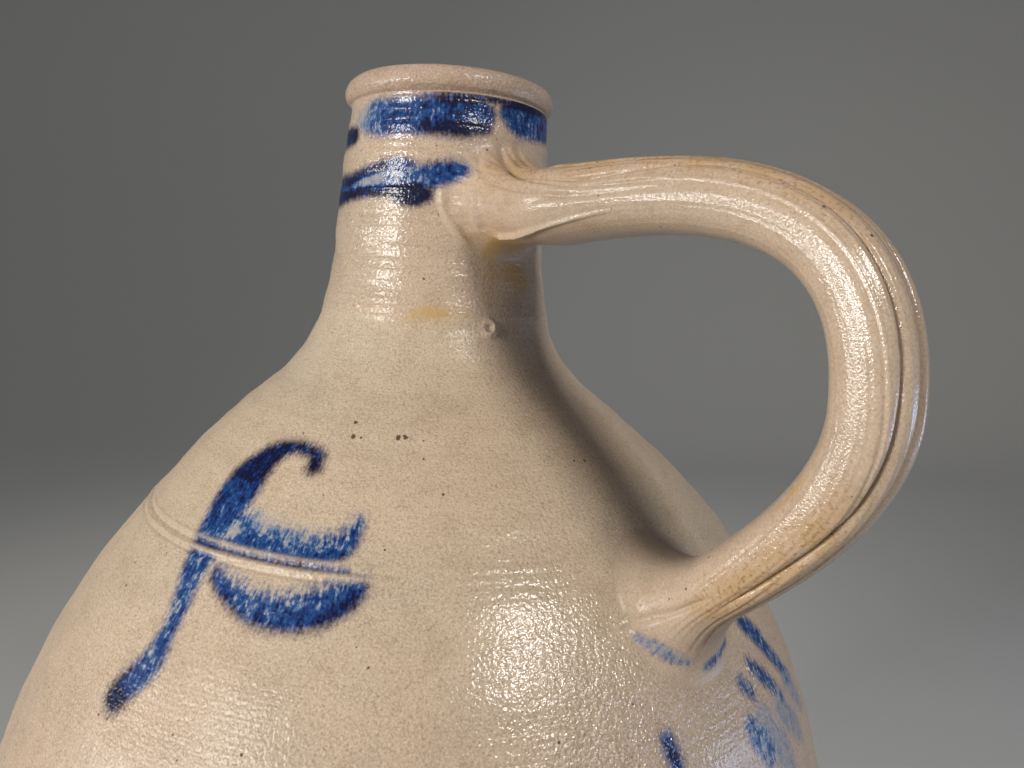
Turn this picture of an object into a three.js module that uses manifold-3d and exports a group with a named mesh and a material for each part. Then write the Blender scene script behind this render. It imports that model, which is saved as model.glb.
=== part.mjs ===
// Ovoid salt-glazed stoneware jug with a loop strap handle and brushed cobalt strokes.
// Millimetres, +Z up, origin at the centre of the underside, handle toward +X.
// The clay was put together in six masses: a thrown bowl, a thrown shoulder ring, a neck
// with a rolled lip, a pulled strap and two wiped smears of clay that hold the strap.

import * as THREE from 'three';
import { mergeVertices } from 'three/addons/utils/BufferGeometryUtils.js';
import Module from 'manifold-3d';

const wasm = await Module();
wasm.setup();

// Vessel outline, outside
const BASE_RADIUS = 72;
const FOOT_BEVEL = 2.5;
const BELLY_RADIUS = 116.6;
const BELLY_HEIGHT = 151.5;
const SHOULDER_SPAN = 105.8;
const SHOULDER_SWEEP = 46.7;
const COVE_SPAN = 68.7;
const COVE_LOWER_PULL = 58;
const COVE_UPPER_PULL = 39.4;
const NECK_FOOT_RADIUS = 28.65;
const NECK_FOOT_FLARE = 0.12;
const NECK_SPAN = 39;
const NECK_FOOT_PULL = 7.5;
const NECK_TOP_RADIUS = 26.3;
const NECK_HOLLOW_DEPTH = 2;
const NECK_HOLLOW_HEIGHT = 13;
const LIP_HEIGHT = 7;
const LIP_OVERHANG = 2.3;
const MOUTH_ROUND = 2.5;

// Vessel inside
const WALL = 7;
const FLOOR = 10;
const FLOOR_ROUND = 8;

// Luted seams: a ridge under the upper section sits in a groove in the lower one
const SEAM_GAP = 0.4;
const SEAM_KEY = 2.5;
const NECK_SEAM_DROP = 14.5;

// Slight lean that the soft clay took on, toward one side of the handle
const LEAN_AZIMUTH = 52;
const LEAN_AT_SHOULDER = 2.2;
const LEAN_AT_COVE = -0.8;
const LEAN_AT_NECK_FOOT = 0.5;
const LEAN_AT_LIP = 2.4;

// Handle spine, from the neck over the crown and down to the shoulder
const ROOT_DROP = 28.5;
const ROOT_BURY = 18;
const CROWN_PULL = 56.4;
const CROWN_RISE = 3.9;
const REACH = 94.5;
const REACH_DROP = 33.2;
const REACH_UPPER_PULL = 38.3;
const REACH_LOWER_PULL = 29.7;
const LANDING_ANGLE = 43.3;
const LANDING_OUT = 13.6;
const LANDING_RISE = 11.3;
const LANDING_BURY = 10;

// Strap section
const ROOT_THICKNESS = 19;
const ROOT_WIDTH = 33;
const STRAP_THICKNESS = 14;
const STRAP_WIDTH = 21;
const LANDING_THICKNESS = 15;
const LANDING_WIDTH = 22;
const SLIMMEST_SHARE = 0.62;
const STRAP_GROOVE = 1.3;

// Smears of clay at the strap's two ends, beyond the strap's own sides
const UPPER_SMEAR_LIFT = 2;
const UPPER_SMEAR_MARGIN = 5;
const UPPER_SMEAR_SIDE = 3.5;
const UPPER_SMEAR_OUT = 10;
const LOWER_SMEAR_MARGIN = 7.5;
const LOWER_SMEAR_SIDE = 5;
const LOWER_SMEAR_OUT = 8;
const FIT_GAP = 0.3;

// Cobalt slip
const SLIP_THICKNESS = 0.5;
const SLIP_EDGE = 0.25;
const SLIP_STEP = 3.5;

// Facets
const TURN_STEPS = 48;
const STRAP_STEPS = 30;
const SMEAR_STEPS = 24;
const OUTLINE_STEPS = 60;

// Colours and finish
const BUFF_CLAY = 0xb9a48c;
const GREY_CLAY = 0xb4a592;
const SMEAR_CLAY = 0xad9c88;
const COBALT = 0x2c4a8c;
const CLAY_ROUGHNESS = 0.38;
const SLIP_ROUGHNESS = 0.3;

// Heights of the outline's joins
const shoulderEnd = BELLY_HEIGHT + SHOULDER_SPAN;
const neckFoot = shoulderEnd + COVE_SPAN;
const lipFoot = neckFoot + NECK_SPAN;
const top = lipFoot + LIP_HEIGHT;

// Lower wall and shoulder are quarter ellipses that meet at the belly
const footAngle = Math.acos(BASE_RADIUS / BELLY_RADIUS);
const lowerRise = BELLY_HEIGHT / Math.sin(footAngle);
const shoulderAngle = THREE.MathUtils.degToRad(SHOULDER_SWEEP);
const shoulderRise = SHOULDER_SPAN / Math.sin(shoulderAngle);
const shoulderEndRadius = BELLY_RADIUS * Math.cos(shoulderAngle);

function lowerAngle(height) {
  return -Math.asin((BELLY_HEIGHT - height) / lowerRise);
}

const lowerCurve = new THREE.EllipseCurve(
  0, BELLY_HEIGHT, BELLY_RADIUS, lowerRise, lowerAngle(FOOT_BEVEL), 0);
const lowerInnerCurve = new THREE.EllipseCurve(
  0, BELLY_HEIGHT, BELLY_RADIUS, lowerRise, lowerAngle(FLOOR + FLOOR_ROUND), 0);
const shoulderCurve = new THREE.EllipseCurve(
  0, BELLY_HEIGHT, BELLY_RADIUS, shoulderRise, 0, shoulderAngle);

// Cove from the shoulder up into the neck, and the neck with its hollow under the lip
const coveStart = new THREE.Vector2(shoulderEndRadius, shoulderEnd);
const coveStartUp = new THREE.Vector2(
  -BELLY_RADIUS * Math.sin(shoulderAngle), shoulderRise * Math.cos(shoulderAngle)).normalize();
const coveEnd = new THREE.Vector2(NECK_FOOT_RADIUS, neckFoot);
const coveEndUp = new THREE.Vector2(-NECK_FOOT_FLARE, 1).normalize();
const coveCurve = new THREE.CubicBezierCurve(
  coveStart,
  coveStart.clone().addScaledVector(coveStartUp, COVE_LOWER_PULL),
  coveEnd.clone().addScaledVector(coveEndUp, -COVE_UPPER_PULL),
  coveEnd);
const neckCurve = new THREE.CubicBezierCurve(
  coveEnd,
  coveEnd.clone().addScaledVector(coveEndUp, NECK_FOOT_PULL),
  new THREE.Vector2(NECK_TOP_RADIUS + NECK_HOLLOW_DEPTH, lipFoot - NECK_HOLLOW_HEIGHT),
  new THREE.Vector2(NECK_TOP_RADIUS, lipFoot));

// The neck's seam lies a set height below the neck's foot, on the cove
function coveShareAt(height) {
  let low = 0;
  let high = 1;
  for (let i = 0; i < 40; i += 1) {
    const middle = (low + high) / 2;
    if (coveCurve.getPoint(middle).y < height) {
      low = middle;
    } else {
      high = middle;
    }
  }
  return low;
}

const neckSeamShare = coveShareAt(neckFoot - NECK_SEAM_DROP);

// Wall samples: outside point, direction up the wall and direction into the wall
function wallSamples(curve, from, to, steps) {
  const samples = [];
  for (let i = 0; i <= steps; i += 1) {
    const share = THREE.MathUtils.lerp(from, to, i / steps);
    const up = curve.getTangent(share);
    const inward = new THREE.Vector2(-up.y, up.x);
    samples.push({ outer: curve.getPoint(share), up, inward });
  }
  return samples;
}

function atDepth(sample, depth) {
  return sample.outer.clone().addScaledVector(sample.inward, depth);
}

// Seam face across the wall, from outside to inside, with its key half way through
function seamFace(sample, lift) {
  const keys = [0, 0, SEAM_KEY, 0, 0];
  return keys.map((key, i) => {
    const point = atDepth(sample, WALL * i / (keys.length - 1));
    return point.addScaledVector(sample.up, lift - key);
  });
}

function outside(samples) {
  return samples.map((sample) => atDepth(sample, 0));
}

function inside(samples) {
  return samples.map((sample) => atDepth(sample, WALL)).reverse();
}

function closed(points) {
  return [...points, points[0].clone()];
}

// Plain indexed geometry with shared vertices and no empty triangles
function welded(geometry) {
  geometry.deleteAttribute('normal');
  geometry.deleteAttribute('uv');
  const merged = mergeVertices(geometry, 1e-4);
  const kept = [];
  for (let i = 0; i < merged.index.count; i += 3) {
    const a = merged.index.getX(i);
    const b = merged.index.getX(i + 1);
    const c = merged.index.getX(i + 2);
    if (a !== b && b !== c && c !== a) {
      kept.push(a, b, c);
    }
  }
  merged.setIndex(kept);
  return merged;
}

function turned(points) {
  const geometry = new THREE.LatheGeometry(points, TURN_STEPS);
  geometry.rotateX(Math.PI / 2);
  return welded(geometry);
}

function solidOf(geometry) {
  const vertProperties = new Float32Array(geometry.attributes.position.array);
  const triVerts = new Uint32Array(geometry.index.array);
  return new wasm.Manifold(new wasm.Mesh({ numProp: 3, vertProperties, triVerts }));
}

function geometryOf(solid) {
  const mesh = solid.getMesh();
  const geometry = new THREE.BufferGeometry();
  geometry.setAttribute('position', new THREE.BufferAttribute(mesh.vertProperties, 3));
  geometry.setIndex(new THREE.BufferAttribute(mesh.triVerts, 1));
  return geometry;
}

// The lean moves each level of the jug sideways, eased between the named levels
const leanLevels = [
  [BELLY_HEIGHT, 0],
  [shoulderEnd, LEAN_AT_SHOULDER],
  [(shoulderEnd + neckFoot) / 2, LEAN_AT_COVE],
  [neckFoot, LEAN_AT_NECK_FOOT],
  [lipFoot, LEAN_AT_LIP],
];
const leanX = Math.cos(THREE.MathUtils.degToRad(LEAN_AZIMUTH));
const leanY = Math.sin(THREE.MathUtils.degToRad(LEAN_AZIMUTH));

function leanAt(height) {
  let lean = 0;
  for (let i = 1; i < leanLevels.length; i += 1) {
    const [below, from] = leanLevels[i - 1];
    const [above, to] = leanLevels[i];
    if (height > below) {
      lean = from + (to - from) * THREE.MathUtils.smoothstep(height, below, above);
    }
  }
  return lean;
}

function leaned(geometry) {
  const position = geometry.attributes.position;
  for (let i = 0; i < position.count; i += 1) {
    const lean = leanAt(position.getZ(i));
    position.setX(i, position.getX(i) + lean * leanX);
    position.setY(i, position.getY(i) + lean * leanY);
  }
  return geometry;
}

const jug = new THREE.Group();

function addPiece(name, geometry, color, roughness) {
  const material = new THREE.MeshStandardMaterial({ color, roughness, metalness: 0 });
  const mesh = new THREE.Mesh(leaned(geometry), material);
  mesh.name = name;
  jug.add(mesh);
}

// Lower body: thrown bowl with a flat underside
const lowerOuter = wallSamples(lowerCurve, 0, 1, 9);
const lowerInner = wallSamples(lowerInnerCurve, 0, 1, 6);
const bellySeam = lowerOuter.at(-1);
const floorEdge = atDepth(lowerInner[0], WALL);
addPiece('lower_body', turned([
  new THREE.Vector2(0, 0),
  new THREE.Vector2(BASE_RADIUS - FOOT_BEVEL, 0),
  ...outside(lowerOuter.slice(0, -1)),
  ...seamFace(bellySeam, -SEAM_GAP / 2),
  ...inside(lowerInner.slice(0, -1)),
  new THREE.Vector2(floorEdge.x - FLOOR_ROUND, FLOOR),
  new THREE.Vector2(0, FLOOR),
]), BUFF_CLAY, CLAY_ROUGHNESS);

// Upper body: thrown shoulder ring, keyed to the bowl at the belly
const shoulderSamples = wallSamples(shoulderCurve, 0, 1, 7);
const lowerCove = wallSamples(coveCurve, 0, neckSeamShare, 8);
const neckSeam = lowerCove.at(-1);
const upperWall = [...shoulderSamples.slice(1), ...lowerCove.slice(1, -1)];
addPiece('upper_body', turned(closed([
  ...outside(upperWall),
  ...seamFace(neckSeam, -SEAM_GAP / 2),
  ...inside(upperWall),
  ...seamFace(bellySeam, SEAM_GAP / 2).reverse(),
])), BUFF_CLAY, CLAY_ROUGHNESS);

// Neck with the rolled lip: a half-round bead over an undercut, and a rounded mouth
const upperCove = wallSamples(coveCurve, neckSeamShare, 1, 3);
const neckSamples = wallSamples(neckCurve, 0, 1, 5);
const neckWall = [...upperCove.slice(1), ...neckSamples.slice(1)];
const beadRadius = LIP_HEIGHT / 2;
const beadCentre = NECK_TOP_RADIUS + LIP_OVERHANG - beadRadius;
const beadStart = -Math.acos((NECK_TOP_RADIUS - beadCentre) / beadRadius);
const beadCurve = new THREE.EllipseCurve(
  beadCentre, lipFoot + beadRadius, beadRadius, beadRadius, beadStart, Math.PI / 2);
const mouthRadius = NECK_TOP_RADIUS - WALL;
const mouthCurve = new THREE.EllipseCurve(
  mouthRadius + MOUTH_ROUND, top - MOUTH_ROUND, MOUTH_ROUND, MOUTH_ROUND, Math.PI / 2, Math.PI);
addPiece('neck_and_lip', turned(closed([
  ...outside(neckWall.slice(0, -1)),
  ...beadCurve.getPoints(6),
  ...mouthCurve.getPoints(3),
  ...inside(neckWall.slice(0, -1)),
  ...seamFace(neckSeam, SEAM_GAP / 2).reverse(),
])), GREY_CLAY, CLAY_ROUGHNESS);

// Filled vessel, a fit gap larger than the real one, that shapes what is pressed onto it
const vesselWall = [
  ...lowerOuter.slice(0, -1), ...shoulderSamples, ...lowerCove.slice(1), ...neckWall];
const vesselCutter = solidOf(turned([
  new THREE.Vector2(0, 0),
  ...vesselWall.map((sample) => atDepth(sample, -FIT_GAP)),
  new THREE.Vector2(0, lipFoot),
]));

// Handle spine in the plane of the loop: reach from the axis, and height
function neckRadiusAt(height) {
  const all = [...lowerCove, ...neckWall];
  const next = all.findIndex((sample) => sample.outer.y >= height);
  const above = all[next].outer;
  const below = all[next - 1].outer;
  return THREE.MathUtils.mapLinear(height, below.y, above.y, below.x, above.x);
}

const rootHeight = lipFoot - ROOT_DROP;
const rootRadius = neckRadiusAt(rootHeight);
const landingAngle = THREE.MathUtils.degToRad(LANDING_ANGLE);
const root = new THREE.Vector2(rootRadius, rootHeight);
const outermost = new THREE.Vector2(rootRadius + REACH, rootHeight - REACH_DROP);
const landing = new THREE.Vector2(
  BELLY_RADIUS * Math.cos(landingAngle), BELLY_HEIGHT + shoulderRise * Math.sin(landingAngle));
const crownPull = root.clone().add(new THREE.Vector2(CROWN_PULL, CROWN_RISE));
const landingPull = landing.clone().add(new THREE.Vector2(LANDING_OUT, LANDING_RISE));
const rootInward = root.clone().sub(crownPull).normalize();
const landingInward = landing.clone().sub(landingPull).normalize();

const spine = new THREE.CurvePath();
spine.add(new THREE.LineCurve(root.clone().addScaledVector(rootInward, ROOT_BURY), root));
spine.add(new THREE.CubicBezierCurve(
  root,
  crownPull,
  outermost.clone().add(new THREE.Vector2(0, REACH_UPPER_PULL)),
  outermost));
spine.add(new THREE.CubicBezierCurve(
  outermost,
  outermost.clone().sub(new THREE.Vector2(0, REACH_LOWER_PULL)),
  landingPull,
  landing));
spine.add(new THREE.LineCurve(
  landing, landing.clone().addScaledVector(landingInward, LANDING_BURY)));
const spineLength = spine.getLength();

// Strap sizes ease from the root to the slimmest place and on to the landing
function eased(share, atRoot, slim, atLanding) {
  if (share < SLIMMEST_SHARE) {
    return slim + (atRoot - slim) * (1 - share / SLIMMEST_SHARE) ** 2;
  }
  return slim + (atLanding - slim) * ((share - SLIMMEST_SHARE) / (1 - SLIMMEST_SHARE)) ** 2;
}

function strapStation(distance) {
  const share = distance / spineLength;
  const ahead = spine.getTangentAt(share);
  return {
    centre: spine.getPointAt(share),
    outward: new THREE.Vector2(-ahead.y, ahead.x),
    halfThickness: eased(share, ROOT_THICKNESS, STRAP_THICKNESS, LANDING_THICKNESS) / 2,
    halfWidth: eased(share, ROOT_WIDTH, STRAP_WIDTH, LANDING_WIDTH) / 2,
  };
}

// Section as shares of half width and half thickness; the last value marks a groove
const strapSection = [
  [1, -0.3, 0], [1, 0.35, 0], [0.85, 0.8, 0], [0.58, 1, 0], [0.34, 1, 1], [0.12, 1, 0],
  [-0.12, 1, 0], [-0.34, 1, 1], [-0.58, 1, 0], [-0.85, 0.8, 0], [-1, 0.35, 0], [-1, -0.3, 0],
  [-0.8, -0.8, 0], [-0.4, -0.98, 0], [0, -1, 0], [0.4, -0.98, 0], [0.8, -0.8, 0],
];

// Loft through the stations with flat ends; grow adds to both half sizes
function loft(stations, grow, groove) {
  const count = strapSection.length;
  const positions = [];
  const index = [];
  stations.forEach((station) => {
    const thick = station.halfThickness + grow;
    const wide = station.halfWidth + grow;
    strapSection.forEach(([across, out, mark]) => {
      const rise = out * thick - mark * groove;
      positions.push(
        station.centre.x + station.outward.x * rise,
        across * wide,
        station.centre.y + station.outward.y * rise);
    });
  });
  for (let i = 0; i < stations.length - 1; i += 1) {
    for (let j = 0; j < count; j += 1) {
      const a = i * count + j;
      const b = i * count + (j + 1) % count;
      index.push(a, b, a + count, b, b + count, a + count);
    }
  }
  for (const [station, ring, flip] of [
    [stations[0], 0, true], [stations.at(-1), (stations.length - 1) * count, false]]) {
    const middle = positions.length / 3;
    positions.push(station.centre.x, 0, station.centre.y);
    for (let j = 0; j < count; j += 1) {
      const a = ring + j;
      const b = ring + (j + 1) % count;
      index.push(middle, flip ? b : a, flip ? a : b);
    }
  }
  const geometry = new THREE.BufferGeometry();
  geometry.setAttribute('position', new THREE.Float32BufferAttribute(positions, 3));
  geometry.setIndex(index);
  return geometry;
}

const strapStations = [];
for (let i = 0; i <= STRAP_STEPS; i += 1) {
  strapStations.push(strapStation(spineLength * i / STRAP_STEPS));
}
const strap = solidOf(loft(strapStations, 0, STRAP_GROOVE));
const strapCutter = solidOf(loft(strapStations, FIT_GAP, 0));
addPiece('handle_strap', geometryOf(strap.subtract(vesselCutter)), BUFF_CLAY, CLAY_ROUGHNESS);

// A smear is a flattened mound of clay that the strap comes out of
function smear(centre, tilt, out, halfWidth, halfLength) {
  const geometry = new THREE.SphereGeometry(1, SMEAR_STEPS, SMEAR_STEPS / 2);
  geometry.scale(out, halfWidth, halfLength);
  geometry.rotateY(tilt);
  geometry.translate(centre.x, 0, centre.y);
  const mound = solidOf(welded(geometry));
  return geometryOf(mound.subtract(strapCutter).subtract(vesselCutter));
}

addPiece('upper_smear', smear(
  root.clone().add(new THREE.Vector2(0, UPPER_SMEAR_LIFT)),
  0,
  UPPER_SMEAR_OUT,
  ROOT_WIDTH / 2 + UPPER_SMEAR_SIDE,
  ROOT_THICKNESS / 2 + UPPER_SMEAR_MARGIN), SMEAR_CLAY, CLAY_ROUGHNESS);
addPiece('lower_smear', smear(
  landing,
  -Math.atan2(landingPull.y - landing.y, landingPull.x - landing.x),
  LOWER_SMEAR_OUT,
  LANDING_WIDTH / 2 + LOWER_SMEAR_SIDE,
  LANDING_THICKNESS / 2 + LOWER_SMEAR_MARGIN), SMEAR_CLAY, CLAY_ROUGHNESS);

// Outside of the vessel at a height: a wall sample between the two nearest
const outline = [
  ...wallSamples(lowerCurve, 0, 1, OUTLINE_STEPS),
  ...wallSamples(shoulderCurve, 0, 1, OUTLINE_STEPS).slice(1),
  ...wallSamples(coveCurve, 0, 1, OUTLINE_STEPS).slice(1),
  ...wallSamples(neckCurve, 0, 1, OUTLINE_STEPS).slice(1),
];

function outlineAt(height) {
  const next = outline.findIndex((sample) => sample.outer.y >= height);
  const below = outline[next - 1];
  const above = outline[next];
  const share = (height - below.outer.y) / (above.outer.y - below.outer.y);
  return {
    outer: below.outer.clone().lerp(above.outer, share),
    up: below.up.clone().lerp(above.up, share).normalize(),
    inward: below.inward.clone().lerp(above.inward, share).normalize(),
  };
}

// Point over the vessel's outside, at an azimuth in radians and a height
function overVessel(azimuth, height, stand) {
  const point = atDepth(outlineAt(height), -stand);
  return [point.x * Math.cos(azimuth), point.x * Math.sin(azimuth), point.y];
}

// A brush stroke is a lens of slip along a curve on the wall.
// Its points are azimuth in degrees, height above or below a level, and half width.
function stroke(level, marks) {
  const path = new THREE.CatmullRomCurve3(
    marks.map(([azimuth, rise, halfWidth]) => new THREE.Vector3(
      THREE.MathUtils.degToRad(azimuth) * outlineAt(level + rise).outer.x,
      rise,
      halfWidth)));
  const steps = Math.ceil(path.getLength() / SLIP_STEP);
  const across = [-1, -0.5, 0, 0.5, 1];
  const last = across.length - 1;
  const positions = [];
  const index = [];
  for (let i = 0; i <= steps; i += 1) {
    const mark = path.getPointAt(i / steps);
    const ahead = path.getTangentAt(i / steps);
    const wall = outlineAt(level + mark.y);
    const climb = ahead.y / wall.up.y;
    const length = Math.hypot(ahead.x, climb);
    for (const side of across) {
      const aside = side * mark.z;
      const height = level + mark.y + aside * (ahead.x / length) * wall.up.y;
      const azimuth = (mark.x - aside * climb / length) / wall.outer.x;
      const thickness = SLIP_EDGE + (SLIP_THICKNESS - SLIP_EDGE) * (1 - side * side);
      positions.push(...overVessel(azimuth, height, FIT_GAP));
      positions.push(...overVessel(azimuth, height, FIT_GAP + thickness));
    }
  }
  const ring = across.length * 2;
  for (let i = 0; i < steps; i += 1) {
    for (let j = 0; j < last; j += 1) {
      const low = i * ring + j * 2;
      const high = low + 1;
      index.push(high, high + ring, high + 2, high + 2, high + ring, high + ring + 2);
      index.push(low, low + 2, low + ring, low + 2, low + ring + 2, low + ring);
    }
    const left = i * ring;
    const right = left + last * 2;
    index.push(left, left + ring, left + 1, left + 1, left + ring, left + ring + 1);
    index.push(right, right + 1, right + ring, right + 1, right + ring + 1, right + ring);
  }
  for (let j = 0; j < last; j += 1) {
    const start = j * 2;
    const end = steps * ring + j * 2;
    index.push(start, start + 1, start + 2, start + 1, start + 3, start + 2);
    index.push(end, end + 2, end + 1, end + 1, end + 2, end + 3);
  }
  const geometry = new THREE.BufferGeometry();
  geometry.setAttribute('position', new THREE.Float32BufferAttribute(positions, 3));
  geometry.setIndex(index);
  return geometry;
}

function addStroke(name, level, marks) {
  addPiece(name, stroke(level, marks), COBALT, SLIP_ROUGHNESS);
}

// Strokes on the neck are set out from the lip's foot
addStroke('collar_stroke', lipFoot, [
  [-97, -5.2, 3.4], [-64, -6.2, 4.2], [-30, -5.8, 4.6], [0, -5.6, 4.6], [30, -5.2, 4]]);
addStroke('neck_dab', lipFoot, [[-105, -7.2, 1.3], [-105, -9.8, 1.7], [-106.5, -12.2, 1.3]]);
addStroke('neck_stroke', lipFoot, [
  [-113, -19.5, 3.4], [-76, -21.4, 3.7], [-57, -23.2, 3], [-45, -22, 2]]);

// Strokes on the shoulder are set out from the shoulder's end
addStroke('leaf_stem', shoulderEnd, [
  [-64, 21.1, 0.9], [-68.7, 24.1, 1.6], [-73.9, 23.9, 2.1], [-77.4, 21.8, 2.4],
  [-79.7, 16.5, 2.3], [-80.9, 10.8, 2.1], [-79.6, 6.3, 1.9], [-78.1, 1.6, 1.4],
  [-76.1, -6.2, 1.2], [-75.8, -12, 1.2], [-77.4, -17.9, 1.6], [-79.3, -21.6, 2.6]]);
addStroke('leaf_upper', shoulderEnd, [
  [-75.5, 9.9, 1.2], [-70.8, 8.9, 2.2], [-66.7, 8.1, 2.6], [-59.6, 7.4, 3],
  [-54.5, 8.3, 2.4], [-52.2, 10.4, 1.5], [-51.5, 12.7, 0.6]]);
addStroke('leaf_lower', shoulderEnd, [
  [-72.9, 0.7, 0.9], [-69.2, -1, 2], [-65.7, -2.1, 2.6], [-59.5, -2.8, 2.7],
  [-54.7, -1.1, 2.4], [-50.9, 0.8, 1.6], [-49, 2.7, 0.6]]);
addStroke('flower_long', shoulderEnd, [
  [13, -12.5, 1], [13.8, -17, 1.7], [14.8, -22.8, 2], [16.8, -28.7, 1.8], [22.5, -37, 1.1]]);
addStroke('flower_short', shoulderEnd, [[9, -19.6, 0.7], [10.2, -24, 1.2], [12.4, -29, 0.9]]);
addStroke('flower_petal', shoulderEnd, [
  [8.6, -30.5, 1.8], [10, -34.5, 2.8], [12.4, -38.7, 3], [14.1, -43.5, 2.5]]);
addStroke('flower_dab', shoulderEnd, [
  [-9.6, -23.7, 1.3], [-10.1, -25.7, 1.7], [-10.4, -27.8, 1.4]]);

export default jug;
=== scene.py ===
import math

import bpy
import numpy as np
from mathutils import Matrix, Vector


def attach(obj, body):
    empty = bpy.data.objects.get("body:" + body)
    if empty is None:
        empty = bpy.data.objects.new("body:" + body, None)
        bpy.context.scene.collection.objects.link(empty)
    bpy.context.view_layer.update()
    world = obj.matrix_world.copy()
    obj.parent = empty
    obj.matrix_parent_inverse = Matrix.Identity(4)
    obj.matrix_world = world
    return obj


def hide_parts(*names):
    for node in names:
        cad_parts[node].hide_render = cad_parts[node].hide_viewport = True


# Salt-glazed stoneware jug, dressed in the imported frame.
# Lengths are in millimetres and become metres where a mesh is made.
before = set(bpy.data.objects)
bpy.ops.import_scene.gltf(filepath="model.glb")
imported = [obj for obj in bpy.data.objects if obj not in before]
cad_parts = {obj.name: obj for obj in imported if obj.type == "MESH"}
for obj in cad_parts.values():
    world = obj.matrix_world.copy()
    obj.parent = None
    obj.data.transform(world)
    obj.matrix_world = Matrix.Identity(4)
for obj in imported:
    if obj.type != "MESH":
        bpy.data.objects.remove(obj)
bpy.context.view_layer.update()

# Lower body: the floor and lower wall, thrown on the wheel as one bowl of buff stoneware.
# It was cut from the wheel with a wire, so the underside is flat and bare of glaze.
# Salt thrown into the hot kiln gave the rest its thin, dimpled glaze.
MM = 0.001
BASE_RADIUS = 72.0
FOOT_ROUND = 2.5
BELLY_RADIUS = 116.6
BELLY_HEIGHT = 151.5
SHOULDER_SPAN = 105.8
SHOULDER_SWEEP = math.radians(46.7)
COVE_SPAN = 68.7
COVE_LOWER_PULL = 58.0
COVE_UPPER_PULL = 39.4
NECK_FOOT_RADIUS = 28.65
NECK_FOOT_FLARE = 0.12
NECK_SPAN = 39.0
NECK_FOOT_PULL = 7.5
NECK_TOP_RADIUS = 26.3
NECK_HOLLOW_DEPTH = 2.0
NECK_HOLLOW_HEIGHT = 13.0
LIP_HEIGHT = 7.0
LIP_OVERHANG = 1.6
WALL = 7.0
FLOOR = 10.0
LEAN_AZIMUTH = math.radians(52)
LEANS = {"belly": 0.0, "shoulder": 2.2, "cove": -0.8, "neck": 0.5, "lip": 2.4}
SMOOTH_STEPS = 2000

shoulder_end = BELLY_HEIGHT + SHOULDER_SPAN
neck_foot = shoulder_end + COVE_SPAN
lip_foot = neck_foot + NECK_SPAN


def bezier(points, share):
    start, leave, arrive, end = (np.array(point, float) for point in points)
    share = np.asarray(share)[:, None]
    rest = 1 - share
    return rest**3 * start + 3 * rest**2 * share * leave + 3 * rest * share**2 * arrive + share**3 * end


def pulled(point, way, length):
    way = np.array(way, float)
    return np.array(point, float) + way / np.linalg.norm(way) * length


def ellipse(rise, angles):
    return np.stack([BELLY_RADIUS * np.cos(angles), BELLY_HEIGHT + rise * np.sin(angles)], -1)


def wall_outline():
    """Radius and height up the outside of the jug, from the foot to the top of the lip."""
    share = np.linspace(0, 1, SMOOTH_STEPS)
    foot_angle = math.acos(BASE_RADIUS / BELLY_RADIUS)
    lower = ellipse(BELLY_HEIGHT / math.sin(foot_angle), foot_angle * (share - 1))
    shoulder_rise = SHOULDER_SPAN / math.sin(SHOULDER_SWEEP)
    shoulder = ellipse(shoulder_rise, SHOULDER_SWEEP * share)
    up_the_shoulder = (-BELLY_RADIUS * math.sin(SHOULDER_SWEEP), shoulder_rise * math.cos(SHOULDER_SWEEP))
    up_the_neck = (-NECK_FOOT_FLARE, 1)
    foot = (NECK_FOOT_RADIUS, neck_foot)
    cove = bezier([
        shoulder[-1],
        pulled(shoulder[-1], up_the_shoulder, COVE_LOWER_PULL),
        pulled(foot, up_the_neck, -COVE_UPPER_PULL),
        foot], share)
    neck = bezier([
        foot,
        pulled(foot, up_the_neck, NECK_FOOT_PULL),
        (NECK_TOP_RADIUS + NECK_HOLLOW_DEPTH, lip_foot - NECK_HOLLOW_HEIGHT),
        (NECK_TOP_RADIUS, lip_foot)], share)
    bead = LIP_HEIGHT / 2
    bead_centre = NECK_TOP_RADIUS + LIP_OVERHANG - bead
    bead_start = -math.acos((NECK_TOP_RADIUS - bead_centre) / bead)
    angles = bead_start + (math.pi / 2 - bead_start) * share
    lip = np.stack([bead_centre + bead * np.cos(angles), lip_foot + bead + bead * np.sin(angles)], -1)
    return np.vstack([lower, shoulder[1:], cove[1:], neck[1:], lip[1:]])


outline = wall_outline()
outline_steps = np.diff(outline, axis=0)
outline_run = np.concatenate([[0], np.cumsum(np.hypot(*outline_steps.T))])
outline_way = np.gradient(outline, outline_run + np.arange(len(outline_run)) * 1e-9, axis=0)


def run_at(height):
    """Distance up the wall from the foot to a height."""
    return np.interp(height, outline[:, 1], outline_run)


def eased(value, low, high):
    share = np.clip((value - low) / (high - low), 0, 1)
    return share * share * (3 - 2 * share)


def lean_at(height):
    levels = [BELLY_HEIGHT, shoulder_end, (shoulder_end + neck_foot) / 2, neck_foot, lip_foot]
    leans = list(LEANS.values())
    lean = np.full(np.shape(height), leans[0])
    for low, high, before, after in zip(levels, levels[1:], leans, leans[1:]):
        lean = lean + (after - before) * eased(height, low, high)
    return lean


def bell(value, middle, spread):
    return np.exp(-(((value - middle) / spread) ** 2))


INCISED_HEIGHTS = (260.6, 262.5)
INCISED_DEPTH = 0.36
INCISED_SPREAD = 0.3
BURR_RISE = 0.95
BURR_SPREAD = 0.26
LOW_LINE_SHARE = 0.7
HIGH_BURR_SHARE = 0.5
LINE_WIPED_SHARE = 0.92
OUT_OF_ROUND = (0.22, 0.12)
RING_CLIMB = 1.2
NECK_RING_DEPTH = 0.11
BODY_RING_DEPTH = 0.1
FINE_RING_DEPTH = 0.03
WART_PLACE = (math.radians(-12.7), 308.7)
WART_RISE = 0.9
WART_RADIUS = 1.5


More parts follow.
